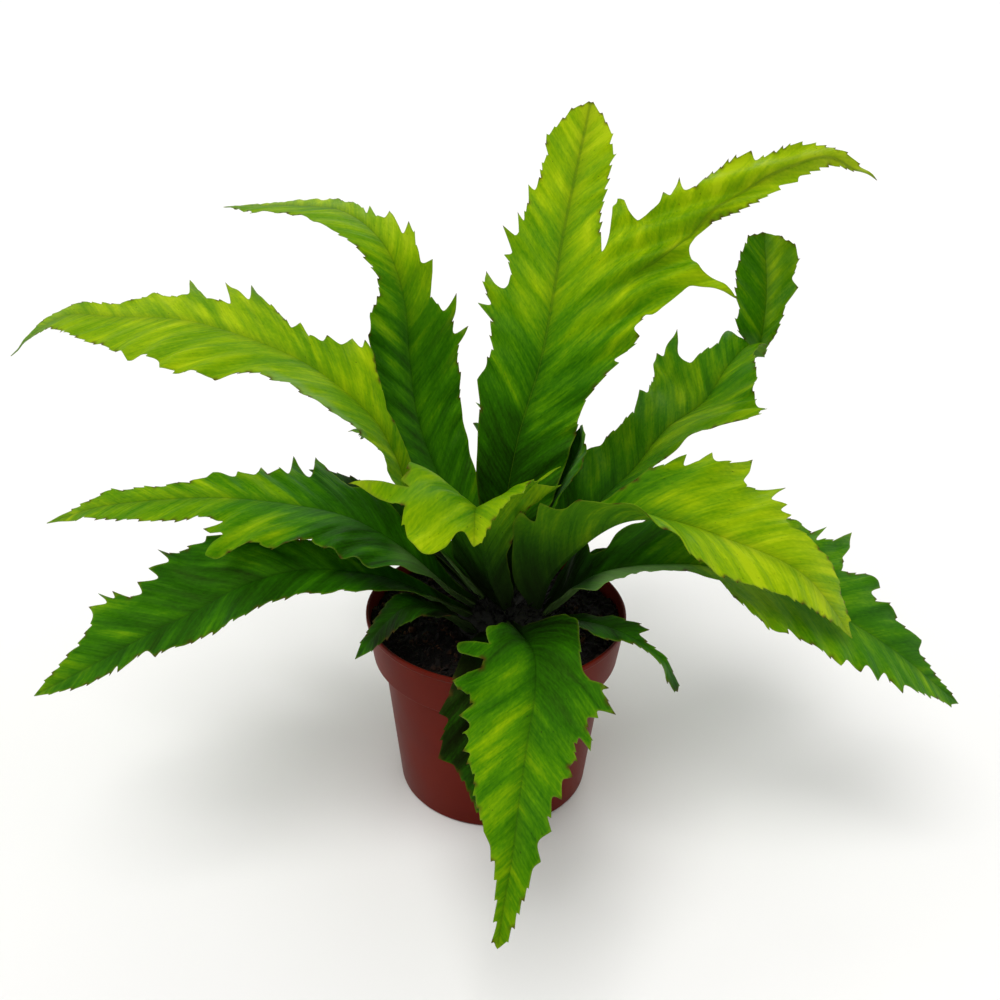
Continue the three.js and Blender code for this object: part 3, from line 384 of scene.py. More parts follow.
draw = np.random.default_rng(7)
reach = soil_edge * np.sqrt(draw.uniform(0.02, 0.985, CRUMBS))
angle = draw.uniform(0, 2 * np.pi, CRUMBS)
x, y = reach * np.cos(angle), reach * np.sin(angle)
clear = np.hypot(x - CROWN_X, y - CROWN_Y) > CROWN_RADIUS + 1
x, y = x[clear], y[clear]
width = draw.lognormal(-0.35, 0.45, len(x)).clip(CRUMB_LEAST, CRUMB_MOST)
length = width * draw.uniform(1, CRUMB_STRETCH, len(x))
crumb_sizes = np.stack([length, width, width * CRUMB_HEIGHT], axis=1)
crumb_centers = np.stack([x, y, soil_height(x, y) + CRUMB_RISE * width], axis=1)

# Crumbs of bark and coir: warmer and lighter than the wet compost under them, in patches of 5 mm.
crumb_material = loose_material(
    "bark_crumbs", {"Scale": 190, "Detail": 2},
    [(0.35, "#090503"), (0.52, "#160c07"), (0.62, "#2f1b0f"), (0.72, "#54341f")], 0.9, 0.25)
crumbs = new_mesh("compost_crumbs", *lumpy_bits(crumb_centers, crumb_sizes, 8), crumb_material,
                  smooth=False)
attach(crumbs, "root")


# Crown: the short upright rootstock that every frond grows from, a low woody dome between the leaf
# stalks, covered in thin papery scales that point up and out.
CROWN_SIDES = 120
CROWN_RINGS = 40
CROWN_FOOT_SHARE = 0.7
CROWN_GRAINS = [(0.5, 3.1, 21), (0.35, 1.3, 22)]
CROWN_SINK = 0.6
SCALES = 320
SCALE_RINGS = 5
SCALE_SPREAD = 0.96
SCALE_ROOT = 1.4
SCALE_FLATNESS = 0.18

# Rootstock and its scales: nearly black and a little green in the damp shade, matt, with paler,
# drier fibres about 3 mm apart.
crown_material = loose_material(
    "rootstock_scales", {"Scale": 380, "Detail": 5, "Roughness": 0.7},
    [(0.35, "#040401"), (0.55, "#0a0b03"), (0.75, "#1c1a08")], 0.8, 0.3,
    relief={"Strength": 0.6, "Distance": 0.0006})

rise = CROWN_TOP - SOIL_LEVEL
crown_foot = SOIL_LEVEL - CROWN_DEPTH
quarter = np.linspace(0, np.pi / 2, CROWN_RINGS)
crown_profile = np.concatenate([
    [[0, crown_foot], [CROWN_RADIUS * CROWN_FOOT_SHARE, crown_foot]],
    np.stack([CROWN_RADIUS * np.cos(quarter), SOIL_LEVEL + rise * np.sin(quarter)], axis=1)[:-1],
    [[0, CROWN_TOP]],
])
points, faces = turned(crown_profile, CROWN_SIDES)
above = points[:, 2] > SOIL_LEVEL
points[above, 2] += grains(points[above, 0], points[above, 1], CROWN_GRAINS) - CROWN_SINK
points[:, :2] += [CROWN_X, CROWN_Y]
dome = new_mesh("rootstock_dome", points, faces, crown_material)
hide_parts("crown")
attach(dome, "root")


def spindles(roots, ways, lengths, widths, bends):
    """Many thin pointed scales as arrays: along each way from its root, a flat four-cornered
    section whose width swells and closes again, bent downwards by the square of the distance."""
    part = np.linspace(0, 1, SCALE_RINGS + 2)[1:-1]
    swell = np.sin(np.pi * part ** 0.7)
    up = np.array([0.0, 0.0, 1.0])
    across = np.cross(ways, up)
    across /= np.linalg.norm(across, axis=1, keepdims=True)
    flat = np.cross(across, ways)
    spine = (roots[:, None] + ways[:, None] * (lengths[:, None] * part)[..., None]
             - up * (bends[:, None] * part ** 2)[..., None])
    reach = (widths[:, None] * swell)[..., None]
    body = np.stack([spine + reach * (sideways * across[:, None] + upwards * flat[:, None])
                     for sideways, upwards in
                     [(1, 0), (0, SCALE_FLATNESS), (-1, 0), (0, -SCALE_FLATNESS)]], axis=2)
    count = len(roots)
    tips = roots + ways * lengths[:, None] - up * bends[:, None]
    points = np.concatenate([body.reshape(count, -1, 3), roots[:, None], tips[:, None]], axis=1)
    last, root = 4 * (SCALE_RINGS - 1), 4 * SCALE_RINGS
    faces = []
    for a in range(last):
        b = a + 1 if a % 4 < 3 else a - 3
        faces += [[a, b, b + 4], [a, b + 4, a + 4]]
    for corner in range(4):
        beside = (corner + 1) % 4
        faces += [[root, beside, corner], [root + 1, last + corner, last + beside]]
    faces = np.array(faces)[None] + (np.arange(count) * points.shape[1])[:, None, None]
    return points.reshape(-1, 3), faces.reshape(-1, 3)


draw = np.random.default_rng(23)
angle = draw.uniform(0, 2 * np.pi, SCALES)
share = np.sqrt(draw.uniform(0, 1, SCALES))
around = np.stack([np.cos(angle), np.sin(angle)], axis=1)
dome_height = SOIL_LEVEL + rise * np.sqrt(np.maximum(0, 1 - (share * SCALE_SPREAD) ** 2))
roots = np.column_stack([around * CROWN_RADIUS * share[:, None] * SCALE_SPREAD
                         + [CROWN_X, CROWN_Y], dome_height - SCALE_ROOT])
lean = (0.25 + 0.9 * share)[:, None]
ways = np.column_stack([around * lean, np.ones(SCALES)]) + draw.normal(0, 0.18, (SCALES, 3))
ways /= np.linalg.norm(ways, axis=1, keepdims=True)
points, faces = spindles(roots, ways, draw.uniform(4, 9, SCALES), draw.uniform(0.5, 1.1, SCALES),
                         draw.uniform(0, 1.5, SCALES))
scales = new_mesh("rootstock_scales", points, faces, crown_material)
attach(scales, "root")


# Fronds: undivided, leathery blades with a raised midrib, cut at the margin into teeth and forks.
# Each one grew as one sheet from the rootstock. They are written down as they would be pressed flat
# and then bent, in the same terms as the solids that they dress:
#   heading  the compass direction it grows in, in degrees from +X towards +Y
#   rib      points that its midrib passes through, from the rootstock to the tip
#   roll     degrees that the blade leans to one side, at even steps from base to tip
#   fold     degrees that each half rises from the midrib, at even steps
#   curl     degrees that each half turns down again for each millimetre out, at even steps
#   tone_and_shade  how light the blade is, from 0 to 1, at even steps: the frond's own
#            colour, darker at the stalk, with painted shade at the base and on low, steep stretches
#   midrib   how clearly the midrib stands out in colour, from 0 to 1: its pale ridge and the
#            painted shade in the crease beside it
#   pale     how much paler and greyer the underside is than the top, from 0 to 1
#   lit_halves  how much brighter the left half is than the right, as a step of tone: painted
#            light on one half and painted shade on the other
#   rolled   where a margin rolls over and shows that paler side: 1 for the left half or -1 for the
#            right, the start and end along the rib, how far out it begins, and how pale it is
#   left and right   the two margins, as [distance along the rib, distance out from it], and a
#            third value marks a tip: 1 a sharp tooth, 2 a blunt lobe
#   fork     a side branch of the blade, in the same terms, along its own flat midline. It leaves
#            the margin where that says "fork"

# The sheet: its thickness and what is left of that at the margin, the thicker stalk, and the midrib's
# keel underneath and groove on top.
BLADE = 0.5
BLADE_EDGE = 0.45
STALK = 1.6
KEEL = 1.5
KEEL_TIP = 0.2
KEEL_WIDTH = 0.85
GROOVE = 0.22
GROOVE_WIDTH = 0.75

# How far forward the ripples, the side veins and a fork's side veins run for each millimetre out.
RIPPLE_SLANT = 0.6
VEIN_SLANT = 1.15
FORK_SLANT = 2.6

# Relief: ripples that grow towards the margin, then pleats between the side veins, in two sizes that
# are shares of PLEAT_HEIGHT and PLEAT_LENGTH, drifting and patchy, then a frill and a slow swell.
RIPPLE_HEIGHT = 1.1
RIPPLE_LENGTH = 15
RIPPLE_REACH = 25
RIPPLE_MOST = 1.3
RIPPLE_SHIFT = 1.3
PLEATS = [(1, 1), (0.35, 0.42)]
PLEAT_HEIGHT = 0.42
PLEAT_LENGTH = 11
PLEAT_DRIFT = 15
PLEAT_PATCH = 16
FRILL_HEIGHT = 0.8
FRILL_SIZE = 7
FRILL_REACH = 3.5
SWELL_HEIGHT = 0.7
SWELL_SIZE = 26

# Small teeth, set every few millimetres on the outer three quarters, blunt lobes and browned tips.
TOOTH_STEP = 5
TOOTH_HEIGHT = 1.4
TOOTH_LEAN = 0.35
TOOTH_LEAST = 0.4
TEETH_START = 0.25
LOBE_REACH = 0.38
LOBE_WIDTH = 0.14
TIP_ROUND = 6
BROWN_SHARE = 0.5
BROWN_REACH = 1.6
ROLLED_FADE = 8

# How finely it is drawn, and how far out from a midline the blade and the fork reach at the most.
EDGE_STEP = 1.0
BLADE_STEP = 1.3
BLADE_MOST = 150
FORK_START = 6
FORK_MOST = 40
RIB_ROWS = [0, -0.6, 0.6, -1.3, 1.3, -2.1, 2.1]
CURVE_SAMPLES = 200
BLADE_CREASE = 50

# What a frond doesn't name is as USUAL says.
USUAL = {"midrib": 0.3, "pale": 0.2, "lit_halves": 0, "rolled": [], "roll": [0, 0, 0],
         "curl": [0, 0.3, 0.5], "fork": None}
FRONDS = [
  {"name": "frond_back_forked", "slot": "frond_bright", "heading": 80, "lit_halves": -0.03, "midrib": 0.8,
   "pale": 0.3, "tone_and_shade": [0.0, 0.25, 0.45, 0.7, 0.8, 0.95], "roll": [0, 0, -8, 0],
   "fold": [40, 15, 5, 5], "curl": [0, 0.3, 0.3, 0.3],
   "rib": [[6, 2, 98], [3, 6, 134], [8, 14, 170], [17, 26, 201], [22, 40, 226], [26, 56, 249],
    [31, 72, 272], [38, 92, 303]],
   "left": [[0, 3], [25, 8], [42, 12], [54.5, 15], [70, 17.5], [82, 19.5], [93.5, 24.5, 1], [101, 23],
    [110, 21.5], [117, 24], [124, 24.5], [132.5, 33.5, 1], [133, 28], [137.5, 30.5], [143, 32],
    [150, 33.5, 1], [143, 27.5], [141, 23], [148, 20.5], [154, 22.5], [157.5, 26, 1], [159, 22.5],
    [170, 28.5, 1], [166, 22], [167.5, 20.5], [177.5, 23.5, 1], [173.5, 19.5], [181, 18.5],
    [190.5, 21, 1], [188, 17], [193, 15], [200.5, 15.5], [204, 14], [209, 16], [213.5, 15.5],
    [217.5, 13], [222, 10], [227, 7]],
   "right": [[0, 3], [25, 11], [50, 22], [73, 24.5], [84, 24.5], [93, 24], [99, 24], [104, 26.5],
    [109.5, 30], [115, 34.5, 1], [116, 32], [120, 36.5], [123, 39], [126, 41, 1], [128.5, 38.5],
    [132.5, 41], "fork", [165, 18], [170.5, 16], [180, 14.5], [202.5, 14.5], [208.5, 15], [213, 12.5],
    [217.5, 12.5], [223, 8.5], [227, 5]],
   "fork": {
     "line": [[148, -30.5], [164, -48.5], [186, -62], [205, -77], [220, -94], [231, -113], [230, -138]],
     "left": [[0, 17.5], [2.5, 19], [8.5, 26.5], [15, 34.5], [28.5, 36.5], [32, 34], [24, 27],
      [25.5, 22.5], [35, 21], [41, 20], [45.5, 22.5, 1], [46, 18.5], [54, 23, 1], [50.5, 16],
      [55, 13.5], [61.5, 14.5], [70, 15], [77.5, 14.5], [84, 14, 1], [84, 10], [88, 9.5],
      [93.5, 10.5, 1], [94, 9.5], [101.5, 10], [112.5, 7], [120.5, 4.5], [126, 4], [133, 3]],
     "right": [[0, 17.5], [3, 19], [8, 18.5], [12.5, 18], [16.5, 17.5], [20.5, 17.5], [23, 21],
      [27.5, 35, 1], [27.5, 28], [26.5, 17], [28, 8], [31, 4.5], [38.5, 2.5], [48.5, 2.5], [61.5, 6.5],
      [72, 8], [78, 8], [86, 8.5, 1], [87, 5.5], [97, 7, 1], [99, 4.5], [111, 3.5], [123, 1.5],
      [131, 1]]}},
  {"name": "frond_back_left", "slot": "frond_green", "heading": 138, "lit_halves": -0.12,
   "tone_and_shade": [0.28, 0.44, 0.5, 0.82, 0.82, 0.82], "roll": [0, -18, -15, -5, 0], "fold": [35, 15, 5, 5],
   "curl": [0, 0.3, 0.5, 0.5],
   "rib": [[-1, 3, 98], [-27, 29, 142], [-38, 40, 168], [-42, 46, 195], [-44, 46, 223], [-52, 49, 246],
    [-71, 65, 257], [-95, 86, 255], [-140, 127, 245]],
   "left": [[0, 2.5], [35, 10], [69, 19.5], [87, 17.5], [98, 19], [121.5, 19], [133, 21, 1],
    [136.5, 19.5], [143, 17], [149.5, 11.5], [157.5, 10], [168.5, 11.5], [184, 14], [198.5, 17, 1],
    [205, 15.5], [232.5, 15], [248, 14], [268, 8]],
   "right": [[0, 2.5], [30, 9], [51.5, 16], [62.5, 17.5], [70, 19], [83, 20.5], [94, 21.5], [103, 22.5],
    [111, 23], [119, 23.5], [127, 30, 1], [124.5, 23], [130, 22], [141, 26, 1], [135.5, 18.5],
    [142, 12.5], [156.5, 18.5, 1], [157, 12.5], [164, 13.5], [170, 17], [175.5, 18.5, 1], [171.5, 11],
    [186.5, 17, 1], [182, 10], [185, 7.5], [194.5, 12.5, 1], [190.5, 7], [208.5, 11.5], [231.5, 15],
    [248, 12], [266.5, 5.5]]},
  {"name": "frond_left_high", "slot": "frond_bright", "heading": 166, "midrib": 0, "pale": 0.45,
   "tone_and_shade": [0.25, 0.63, 0.75, 0.8, 0.84, 0.62], "rolled": [[1, 58, 150, 15.5, 0.55]],
   "roll": [0, -12, -18, -20], "fold": [35, 20, 5, 5], "curl": [0, 0.3, 0.5, 0.5],
   "rib": [[-6, -2, 98], [-35, 7, 133], [-46, 5, 166], [-58, 6, 186], [-87, 13, 206], [-132, 26, 217],
    [-170, 38, 215], [-200, 48, 211], [-230, 55, 190]],
   "left": [[0, 2.5], [35, 10], [75.5, 17], [80, 16.5], [89.5, 15], [96, 16], [101, 18.5], [121, 20],
    [134.5, 20], [147.5, 20.5], [154.5, 26], [163, 31, 1], [165, 30.5], [171, 31.5], [177, 31],
    [182, 31.5], [188, 33.5, 1], [193, 27.5], [198, 27], [209.5, 28, 1], [214.5, 24], [226.5, 19.5],
    [236.5, 17], [246.5, 14], [254, 11.5], [266, 6.5], [280, 2.5]],
   "right": [[0, 2.5], [35, 7], [63.5, 7], [79.5, 6.5], [98.5, 8], [112.5, 18.5], [119, 24.5],
    [125, 28.5, 1], [124, 24], [129.5, 27, 1], [131, 18], [138, 19.5, 1], [138, 14.5], [143.5, 14],
    [150.5, 19.5, 1], [152, 14.5], [156.5, 18], [167, 23.5], [183, 36.5, 1], [177.5, 23],
    [196, 36.5, 1], [183, 17.5], [193.5, 16.5], [212.5, 34.5, 1], [203.5, 19], [207.5, 15.5],
    [220, 18.5], [226, 14.5], [235, 10], [244.5, 8.5], [254.5, 8.5], [265.5, 8], [280, 5]]},
  {"name": "frond_left_forked", "slot": "frond_green", "heading": 187, "lit_halves": -0.04, "pale": 0.4,
   "tone_and_shade": [0.15, 0.38, 0.45, 0.7, 0.75, 0.75], "rolled": [[1, 4, 54, 0.5, 0.3]],
   "roll": [-5, -12, -12, -10], "fold": [35, 15, 5, 5], "curl": [0, 0.3, 0.5, 0.5],
   "rib": [[-10, -6, 97], [-21, -7, 105], [-41, -10, 127], [-64, -12, 143], [-89, -16, 151],
    [-118, -19, 155], [-146, -23, 155], [-169, -25, 152], [-189, -28, 146]],
   "left": [[0, 2.5], [26, 12], [50, 29], [56, 33], [71.5, 33.5], [83.5, 27.5], [88.5, 23], [98, 29],
    [107.5, 28], [119.5, 32], [130, 36, 2], [123.5, 24.5], [132.5, 20.5, 1], [124.5, 15.5], [135, 13.5],
    [149.5, 14.5], [163, 12.5], [187, 5]],
   "right": [[0, 2.5], [20, 6], [39, 12], [47, 13], [53, 15], [58, 17], [63.5, 19], [69, 18.5],
    [74, 17.5], [80, 22.5], [83, 25], [88.5, 35, 1], [91, 18], [99.5, 33, 1], [100.5, 19], [105, 21],
    [109.5, 18], [113, 23, 1], [114.5, 16], [122, 18, 1], [123.5, 13.5], [131.5, 15, 1], [134.5, 12.5],
    [140.5, 10], [155, 8.5], [173.5, 9], [182, 5], [190, 3.5]]},
  {"name": "frond_left_low", "slot": "frond_deep", "heading": 202, "lit_halves": -0.07, "midrib": 0.5,
   "pale": 0.3, "tone_and_shade": [0.15, 0.4, 0.45, 0.43, 0.5, 0.7], "roll": [-5, -20, -28, -25],
   "fold": [35, 20, 15, 10], "curl": [0, 0.3, 0.5, 0.5],
   "rib": [[-12, -10, 94], [-21, -14, 101], [-49, -26, 122], [-79, -38, 132], [-103, -48, 130],
    [-121, -55, 122], [-139, -62, 115], [-162, -72, 105], [-183, -80, 96]],
   "left": [[0, 2.5], [30, 10], [46.5, 12.5], [61.5, 16.5], [80.5, 15.5], [101.5, 15], [113.5, 15.5],
    [124, 14], [137.5, 13], [149.5, 11], [153, 12, 1], [155, 7.5], [159, 7], [168.5, 10, 1], [168, 6.5],
    [171.5, 8], [181, 7], [187, 6], [196, 3]],
   "right": [[0, 2.5], [20, 4], [45, 6], [68.5, 14], [84, 13.5], [101.5, 18.5], [115, 28, 1], [117, 25],
    [122, 25.5], [132, 29.5], [136.5, 34, 1], [133.5, 25], [142.5, 27, 1], [140.5, 21], [148, 23, 1],
    [148, 17.5], [152.5, 18.5], [158, 26, 1], [158.5, 22], [163.5, 28.5, 1], [161.5, 21],
    [169, 24.5, 1], [168.5, 21], [170.5, 15.5], [178.5, 10.5], [184.5, 8], [188.5, 6], [196, 3]]},
  {"name": "frond_rim_left", "slot": "frond_green", "heading": 217, "lit_halves": -0.15, "pale": 0.15,
   "tone_and_shade": [0.03, 0.03, 0.07, 0.3, 0.2, 0.35], "fold": [25, 10, 5],
   "rib": [[-10, -19, 91], [-24, -29, 107], [-37, -36, 114], [-47, -41, 108], [-59, -49, 95]],
   "left": [[0, 2.2], [15, 9], [30, 15], [39, 12], [48, 9], [57, 7], [65, 5]],
   "right": [[0, 2.2], [17, 6], [40, 8], [48, 7], [56, 5], [66, 3]]},
  {"name": "frond_front", "slot": "frond_bright", "heading": 270, "lit_halves": -0.04, "midrib": 0.4,
   "tone_and_shade": [0.0, 0.25, 0.45, 0.6, 0.57, 0.75], "fold": [75, 35, 12, 12, 15], "curl": [0, 0.3, 0.3],
   "rib": [[6, -20, 94], [15, -62, 111], [16, -84, 107], [13, -104, 98], [10, -126, 89], [8, -141, 79],
    [5, -154, 66], [3, -163, 54]],
   "left": [[0, 3], [20, 4], [27, 9], [32, 14], [37, 20], [46, 21.5], [51.5, 20], [57.5, 18.5],
    [63, 19], [67, 21.5], [70.5, 29, 1], [71, 26.5], [73.5, 28.5], [77.5, 32, 1], [77.5, 25],
    [80, 25.5, 1], [80, 21.5], [83, 21.5], [88, 24], [94, 24, 1], [88, 19.5], [90.5, 17.5], [98, 18.5],
    [101, 16.5], [105, 18.5, 1], [107, 15], [114.5, 15.5, 1], [114, 12], [121, 11], [126, 13, 1],
    [130, 8.5], [136, 10.5, 1], [138.5, 8], [145, 7], [154, 5], [164, 3]],
   "right": [[0, 3], [22, 4], [30, 8], [36, 13.5], [43, 17], [48, 22], [53, 19.5], [55.5, 33, 2],
    [60.5, 27], [61, 22], [64, 22], [67.5, 27.5], [72, 32.5], [78, 29], [78.5, 25], [81, 23],
    [86.5, 27.5, 1], [90, 22.5], [93, 23.5], [95, 22], [100, 23.5, 1], [101, 20.5], [105.5, 20],
    [108.5, 17.5], [117, 16], [125, 12.5], [129, 11.5, 1], [133.5, 8.5], [138.5, 6], [144.5, 4],
    [151, 2.5], [158, 1.5], [165, 1.5]]},
  {"name": "frond_front_under", "slot": "frond_deep", "heading": 256, "tone_and_shade": [0.05, 0.05, 0.1, 0.5],
   "fold": [25, 15, 10], "curl": [0, 0.4, 0.4],
   "rib": [[0, -23, 91], [-2, -42, 101], [-3, -64, 103], [-4, -82, 92], [-4, -90, 76], [-4, -94, 60],
    [-3, -97, 51]],
   "left": [[0, 2.2], [20, 6], [45, 10], [60, 13], [70, 16, 1], [72, 11], [90, 7]],
   "right": [[0, 2.2], [20, 6], [45, 12], [57, 14], [65, 18, 1], [67, 14], [75, 16], [83, 18, 1],
    [85, 12], [92, 7]]},
  {"name": "frond_rim_right", "slot": "frond_deep", "heading": 330, "lit_halves": -0.05,
   "tone_and_shade": [0.15, 0.16, 0.34, 0.4, 0.56, 0.22], "fold": [25, 10, 5],
   "rib": [[20, -15, 91], [34, -22, 99], [48, -29, 101], [62, -37.5, 99], [72, -44.5, 94],
    [78.5, -48, 81]],
   "left": [[0, 2.2], [17, 4], [28.5, 5], [33.5, 7], [39, 7], [45, 9], [49.5, 10, 1], [47.5, 4.5],
    [52, 2], [56.5, 2], [63.5, 2], [70, 2.5], [77, 2]],
   "right": [[0, 2.2], [23, 8], [33.5, 12], [39.5, 10], [43.5, 5.5], [48.5, 3], [56, 2.5], [62.5, 4],
    [71, 3.5], [77, 1.5]]},
  {"name": "frond_middle_curled", "slot": "frond_bright", "heading": 262, "lit_halves": 0.08, "midrib": 0.2,
   "pale": 0.04, "tone_and_shade": [0.06, 0.28, 0.53, 0.71, 0.7, 0.95], "roll": [0, 0, 0, 0],
   "fold": [30, 42, 35, 20], "curl": [0, 0.2, 0.2, 0.2],
   "rib": [[4, -11, 98], [-3, -17, 118], [-6, -24, 140], [-8, -34, 159], [-9, -47, 166], [-9, -58, 164],
    [-9, -65, 160]],
   "left": [[0, 4], [9, 7.5], [18, 9], [31, 10], [42, 15], [54, 22], [63, 37.5, 1], [64, 27], [67, 28],
    [73, 37, 1], [72, 27], [80, 23], [84, 20], [84, 16], [86.5, 15], [88, 11], [92, 7.5], [95.5, 5.5],
    [98.5, 4.5], [100.5, 2.5]],
   "right": [[0, 6], [7, 13], [13, 18], [20, 23], [31, 25], [50, 25], [62, 28], [74, 33], [81, 30],
    [84, 32, 1], [84.5, 28.5], [88.5, 51, 1], [90, 36], [90.5, 32], [91.5, 28], [97, 27.5],
    [108.5, 18.5, 2], [98, 7.5], [96.5, 4]]},
  {"name": "frond_back_right", "slot": "frond_green", "heading": 44, "lit_halves": -0.1, "pale": 0.3,
   "tone_and_shade": [0.2, 0.45, 0.7, 0.65, 0.65, 0.7],
   "rolled": [[-1, 188, 208, 0.5, 0.4], [1, 188, 208, 0.5, 0.4]], "fold": [30, 25, 22, 8],
   "rib": [[14, 5, 97], [35, 25, 114], [49, 38, 129], [65, 54, 138], [82, 70, 153], [103, 90, 160],
    [116, 103, 175], [128, 115, 182], [133, 120, 174], [136, 123, 183], [135, 121, 210],
    [129, 116, 240]],
   "left": [[0, 2.5], [20, 9.5], [38, 18], [50, 21], [60, 22], [74, 23.5], [85, 21], [99.5, 19],
    [107.5, 18], [120, 27, 1], [121.5, 22.5], [135.5, 29.5], [155, 37.5, 1], [155, 32],
    [170.5, 36.5, 1], [158.5, 26], [157, 18.5], [163, 15.5], [172.5, 12], [190, 18, 1], [186, 10],
    [192, 5], [198, 4.5], [201.5, 8.5], [206, 12.5], [212, 15], [217.5, 14], [224.5, 16.5], [240, 16.5],
    [251, 12.5], [260, 8]],
   "right": [[0, 2.5], [33, 15], [55, 16], [74, 14.5], [85, 15.5], [92.5, 17], [101, 21], [111, 23.5],
    [117, 33], [123.5, 40.5], [128, 44], [138, 43, 1], [139, 36], [150, 28.5], [159, 24], [171, 12],
    [185, 7], [194, 5], [200, 5.5], [212, 10.5], [226.5, 13], [239, 21.5, 1], [241, 16], [253.5, 20.5],
    [260, 17], [263, 10]]},
  {"name": "frond_right_light", "slot": "frond_bright", "heading": 344, "lit_halves": -0.07, "midrib": 0.2,
   "pale": 0.06, "tone_and_shade": [0.07, 0.54, 0.61, 0.86, 0.88, 0.85], "roll": [0, 0, 25, 20],
   "fold": [70, 55, 10, 5],
   "rib": [[18, -7, 96], [24, -9, 115], [39, -14, 136], [54, -18, 148], [71, -23, 151], [93, -29, 147],
    [126, -39, 136], [150, -46, 109]],
   "left": [[0, 2.5], [20, 6], [38, 7], [52, 10.5], [62.5, 12], [71, 16.5], [75.5, 21.5], [79.5, 23.5],
    [86.5, 31.5, 1], [86.5, 27], [90.5, 31], [94.5, 38, 1], [96.5, 31.5], [101.5, 34], [110, 43.5, 1],
    [110.5, 37], [109, 29.5], [111, 26.5], [115, 28.5], [126.5, 37, 1], [122.5, 27], [129, 28, 1],
    [127.5, 24], [132, 25, 1], [130.5, 20.5], [132.5, 17], [139.5, 18.5], [146, 16.5], [155.5, 15],
    [160.5, 11], [168.5, 8.5], [175, 3.5]],
   "right": [[0, 2.5], [10, 12], [22, 22], [30, 26], [44, 38, 1], [42, 27], [50, 32, 1], [52, 27],
    [60, 26, 1], [61, 24], [70, 24], [80, 25], [92, 25], [107, 23], [114, 21], [126, 18], [136, 16],
    [147, 13], [159, 9], [171, 3]]},
  {"name": "frond_right_low", "slot": "frond_deep", "heading": 350, "lit_halves": -0.08, "pale": 0.45,
   "tone_and_shade": [0.05, 0.36, 0.78, 0.71, 0.6, 0.61], "rolled": [[-1, 34, 78, 1, 0.6]],
   "roll": [0, 15, 25, 25], "fold": [30, 20, 10, 10],
   "rib": [[22, -8, 93], [29, -8, 101], [48, -12, 119], [82, -18, 127], [114, -23, 123],
    [144, -29, 112], [176, -34, 93], [204, -39, 71]],
   "left": [[0, 2.5], [14, 12], [22, 17], [31.5, 18.5], [32.5, 11.5], [38, 10.5], [40.5, 12.5],
    [44, 17.5], [50, 21.5], [64.5, 26], [77.5, 29], [99.5, 33], [112, 34], [122, 35], [128, 42, 1],
    [124, 30], [131, 33.5], [140, 46, 1], [141, 39], [138, 29], [138.5, 21.5], [146, 25], [150.5, 28],
    [159, 26, 1], [155, 20.5], [158, 17.5], [164, 19], [169.5, 15], [174, 13], [184, 14.5, 1],
    [184.5, 7.5], [192, 5], [199.5, 3], [207, 1.5]],
   "right": [[0, 2.5], [20, 10], [26, 16.5], [32, 26], [35.5, 31], [40, 24], [45.5, 15.5], [54, 9.5],
    [62, 6.5], [73, 5.5], [80, 8], [87, 8.5], [94, 18], [98, 20.5], [103.5, 24.5], [107, 27],
    [112, 26.5], [121, 26.5, 1], [121, 22.5], [128, 23], [143, 23], [148, 25, 1], [150.5, 20.5],
    [158.5, 21.5, 1], [160, 17.5], [168, 20, 1], [169.5, 15], [173, 17], [180.5, 19, 1], [181, 14],
    [188, 12], [199.5, 7], [208, 3.5]]},
  {"name": "frond_young", "slot": "frond_green", "heading": 35, "lit_halves": -0.2,
   "tone_and_shade": [0.3, 0.35, 0.4], "fold": [45, 40, 30], "curl": [0, 0, 0],
   "rib": [[9, 4, 99], [17, 8, 122], [27, 11, 148], [35, 14, 166], [36, 15, 177]],
   "left": [[0, 2], [25, 4], [50, 5], [66, 4.5], [76, 5], [80, 3]],
   "right": [[0, 2], [25, 5], [38, 12], [45, 17], [52, 18], [63, 19], [70, 19], [78, 18], [84, 12],
    [86, 5]]},
  {"name": "frond_left_narrow", "slot": "frond_green", "heading": 160, "tone_and_shade": [0.1, 0.25, 0.35],
   "roll": [0, -10, 0], "fold": [30, 15, 5], "curl": [0, 0.3, 0.4],
   "rib": [[-9, 4, 97], [-30, 14, 116], [-55, 20, 133], [-88, 28, 147]],
   "left": [[0, 2.2], [20, 5], [45, 8], [62, 9], [70, 12, 1], [72, 8], [88, 5]],
   "right": [[0, 2.2], [20, 5], [45, 8], [60, 14, 1], [62, 8], [80, 7], [92, 4]]},
  {"name": "frond_rear_middle", "slot": "frond_green", "heading": 86, "tone_and_shade": [0.1, 0.45, 0.65],
   "fold": [35, 15, 5],
   "rib": [[6, 10, 97], [9, 40, 126], [12, 80, 141], [14, 120, 138], [16, 160, 120], [18, 192, 94]],
   "left": [[0, 2.5], [25, 9], [50, 17], [75, 20], [90, 27, 1], [92, 19], [112, 21], [125, 28, 1],
    [127, 19], [150, 16], [162, 21, 1], [164, 13], [185, 8], [205, 4]],
   "right": [[0, 2.5], [25, 9], [50, 17], [70, 20], [82, 27, 1], [85, 20], [105, 22], [118, 29, 1],
    [120, 20], [140, 18], [154, 23, 1], [156, 14], [180, 10], [203, 4]]},
  {"name": "frond_rear_left", "slot": "frond_deep", "heading": 121, "tone_and_shade": [0.1, 0.45, 0.6],
   "fold": [35, 15, 5],
   "rib": [[-3, 8, 97], [-17, 34, 122], [-36, 67, 137], [-55, 101, 137], [-72, 134, 122],
    [-79, 148, 110]],
   "left": [[0, 2.5], [25, 8], [50, 14], [72, 17], [88, 24, 1], [90, 17], [108, 18], [120, 24, 1],
    [122, 15], [142, 12], [154, 15, 1], [156, 8]],
   "right": [[0, 2.5], [25, 8], [50, 14], [78, 18], [94, 25, 1], [96, 17], [114, 18], [128, 22, 1],
    [130, 13], [150, 8], [160, 5]]},
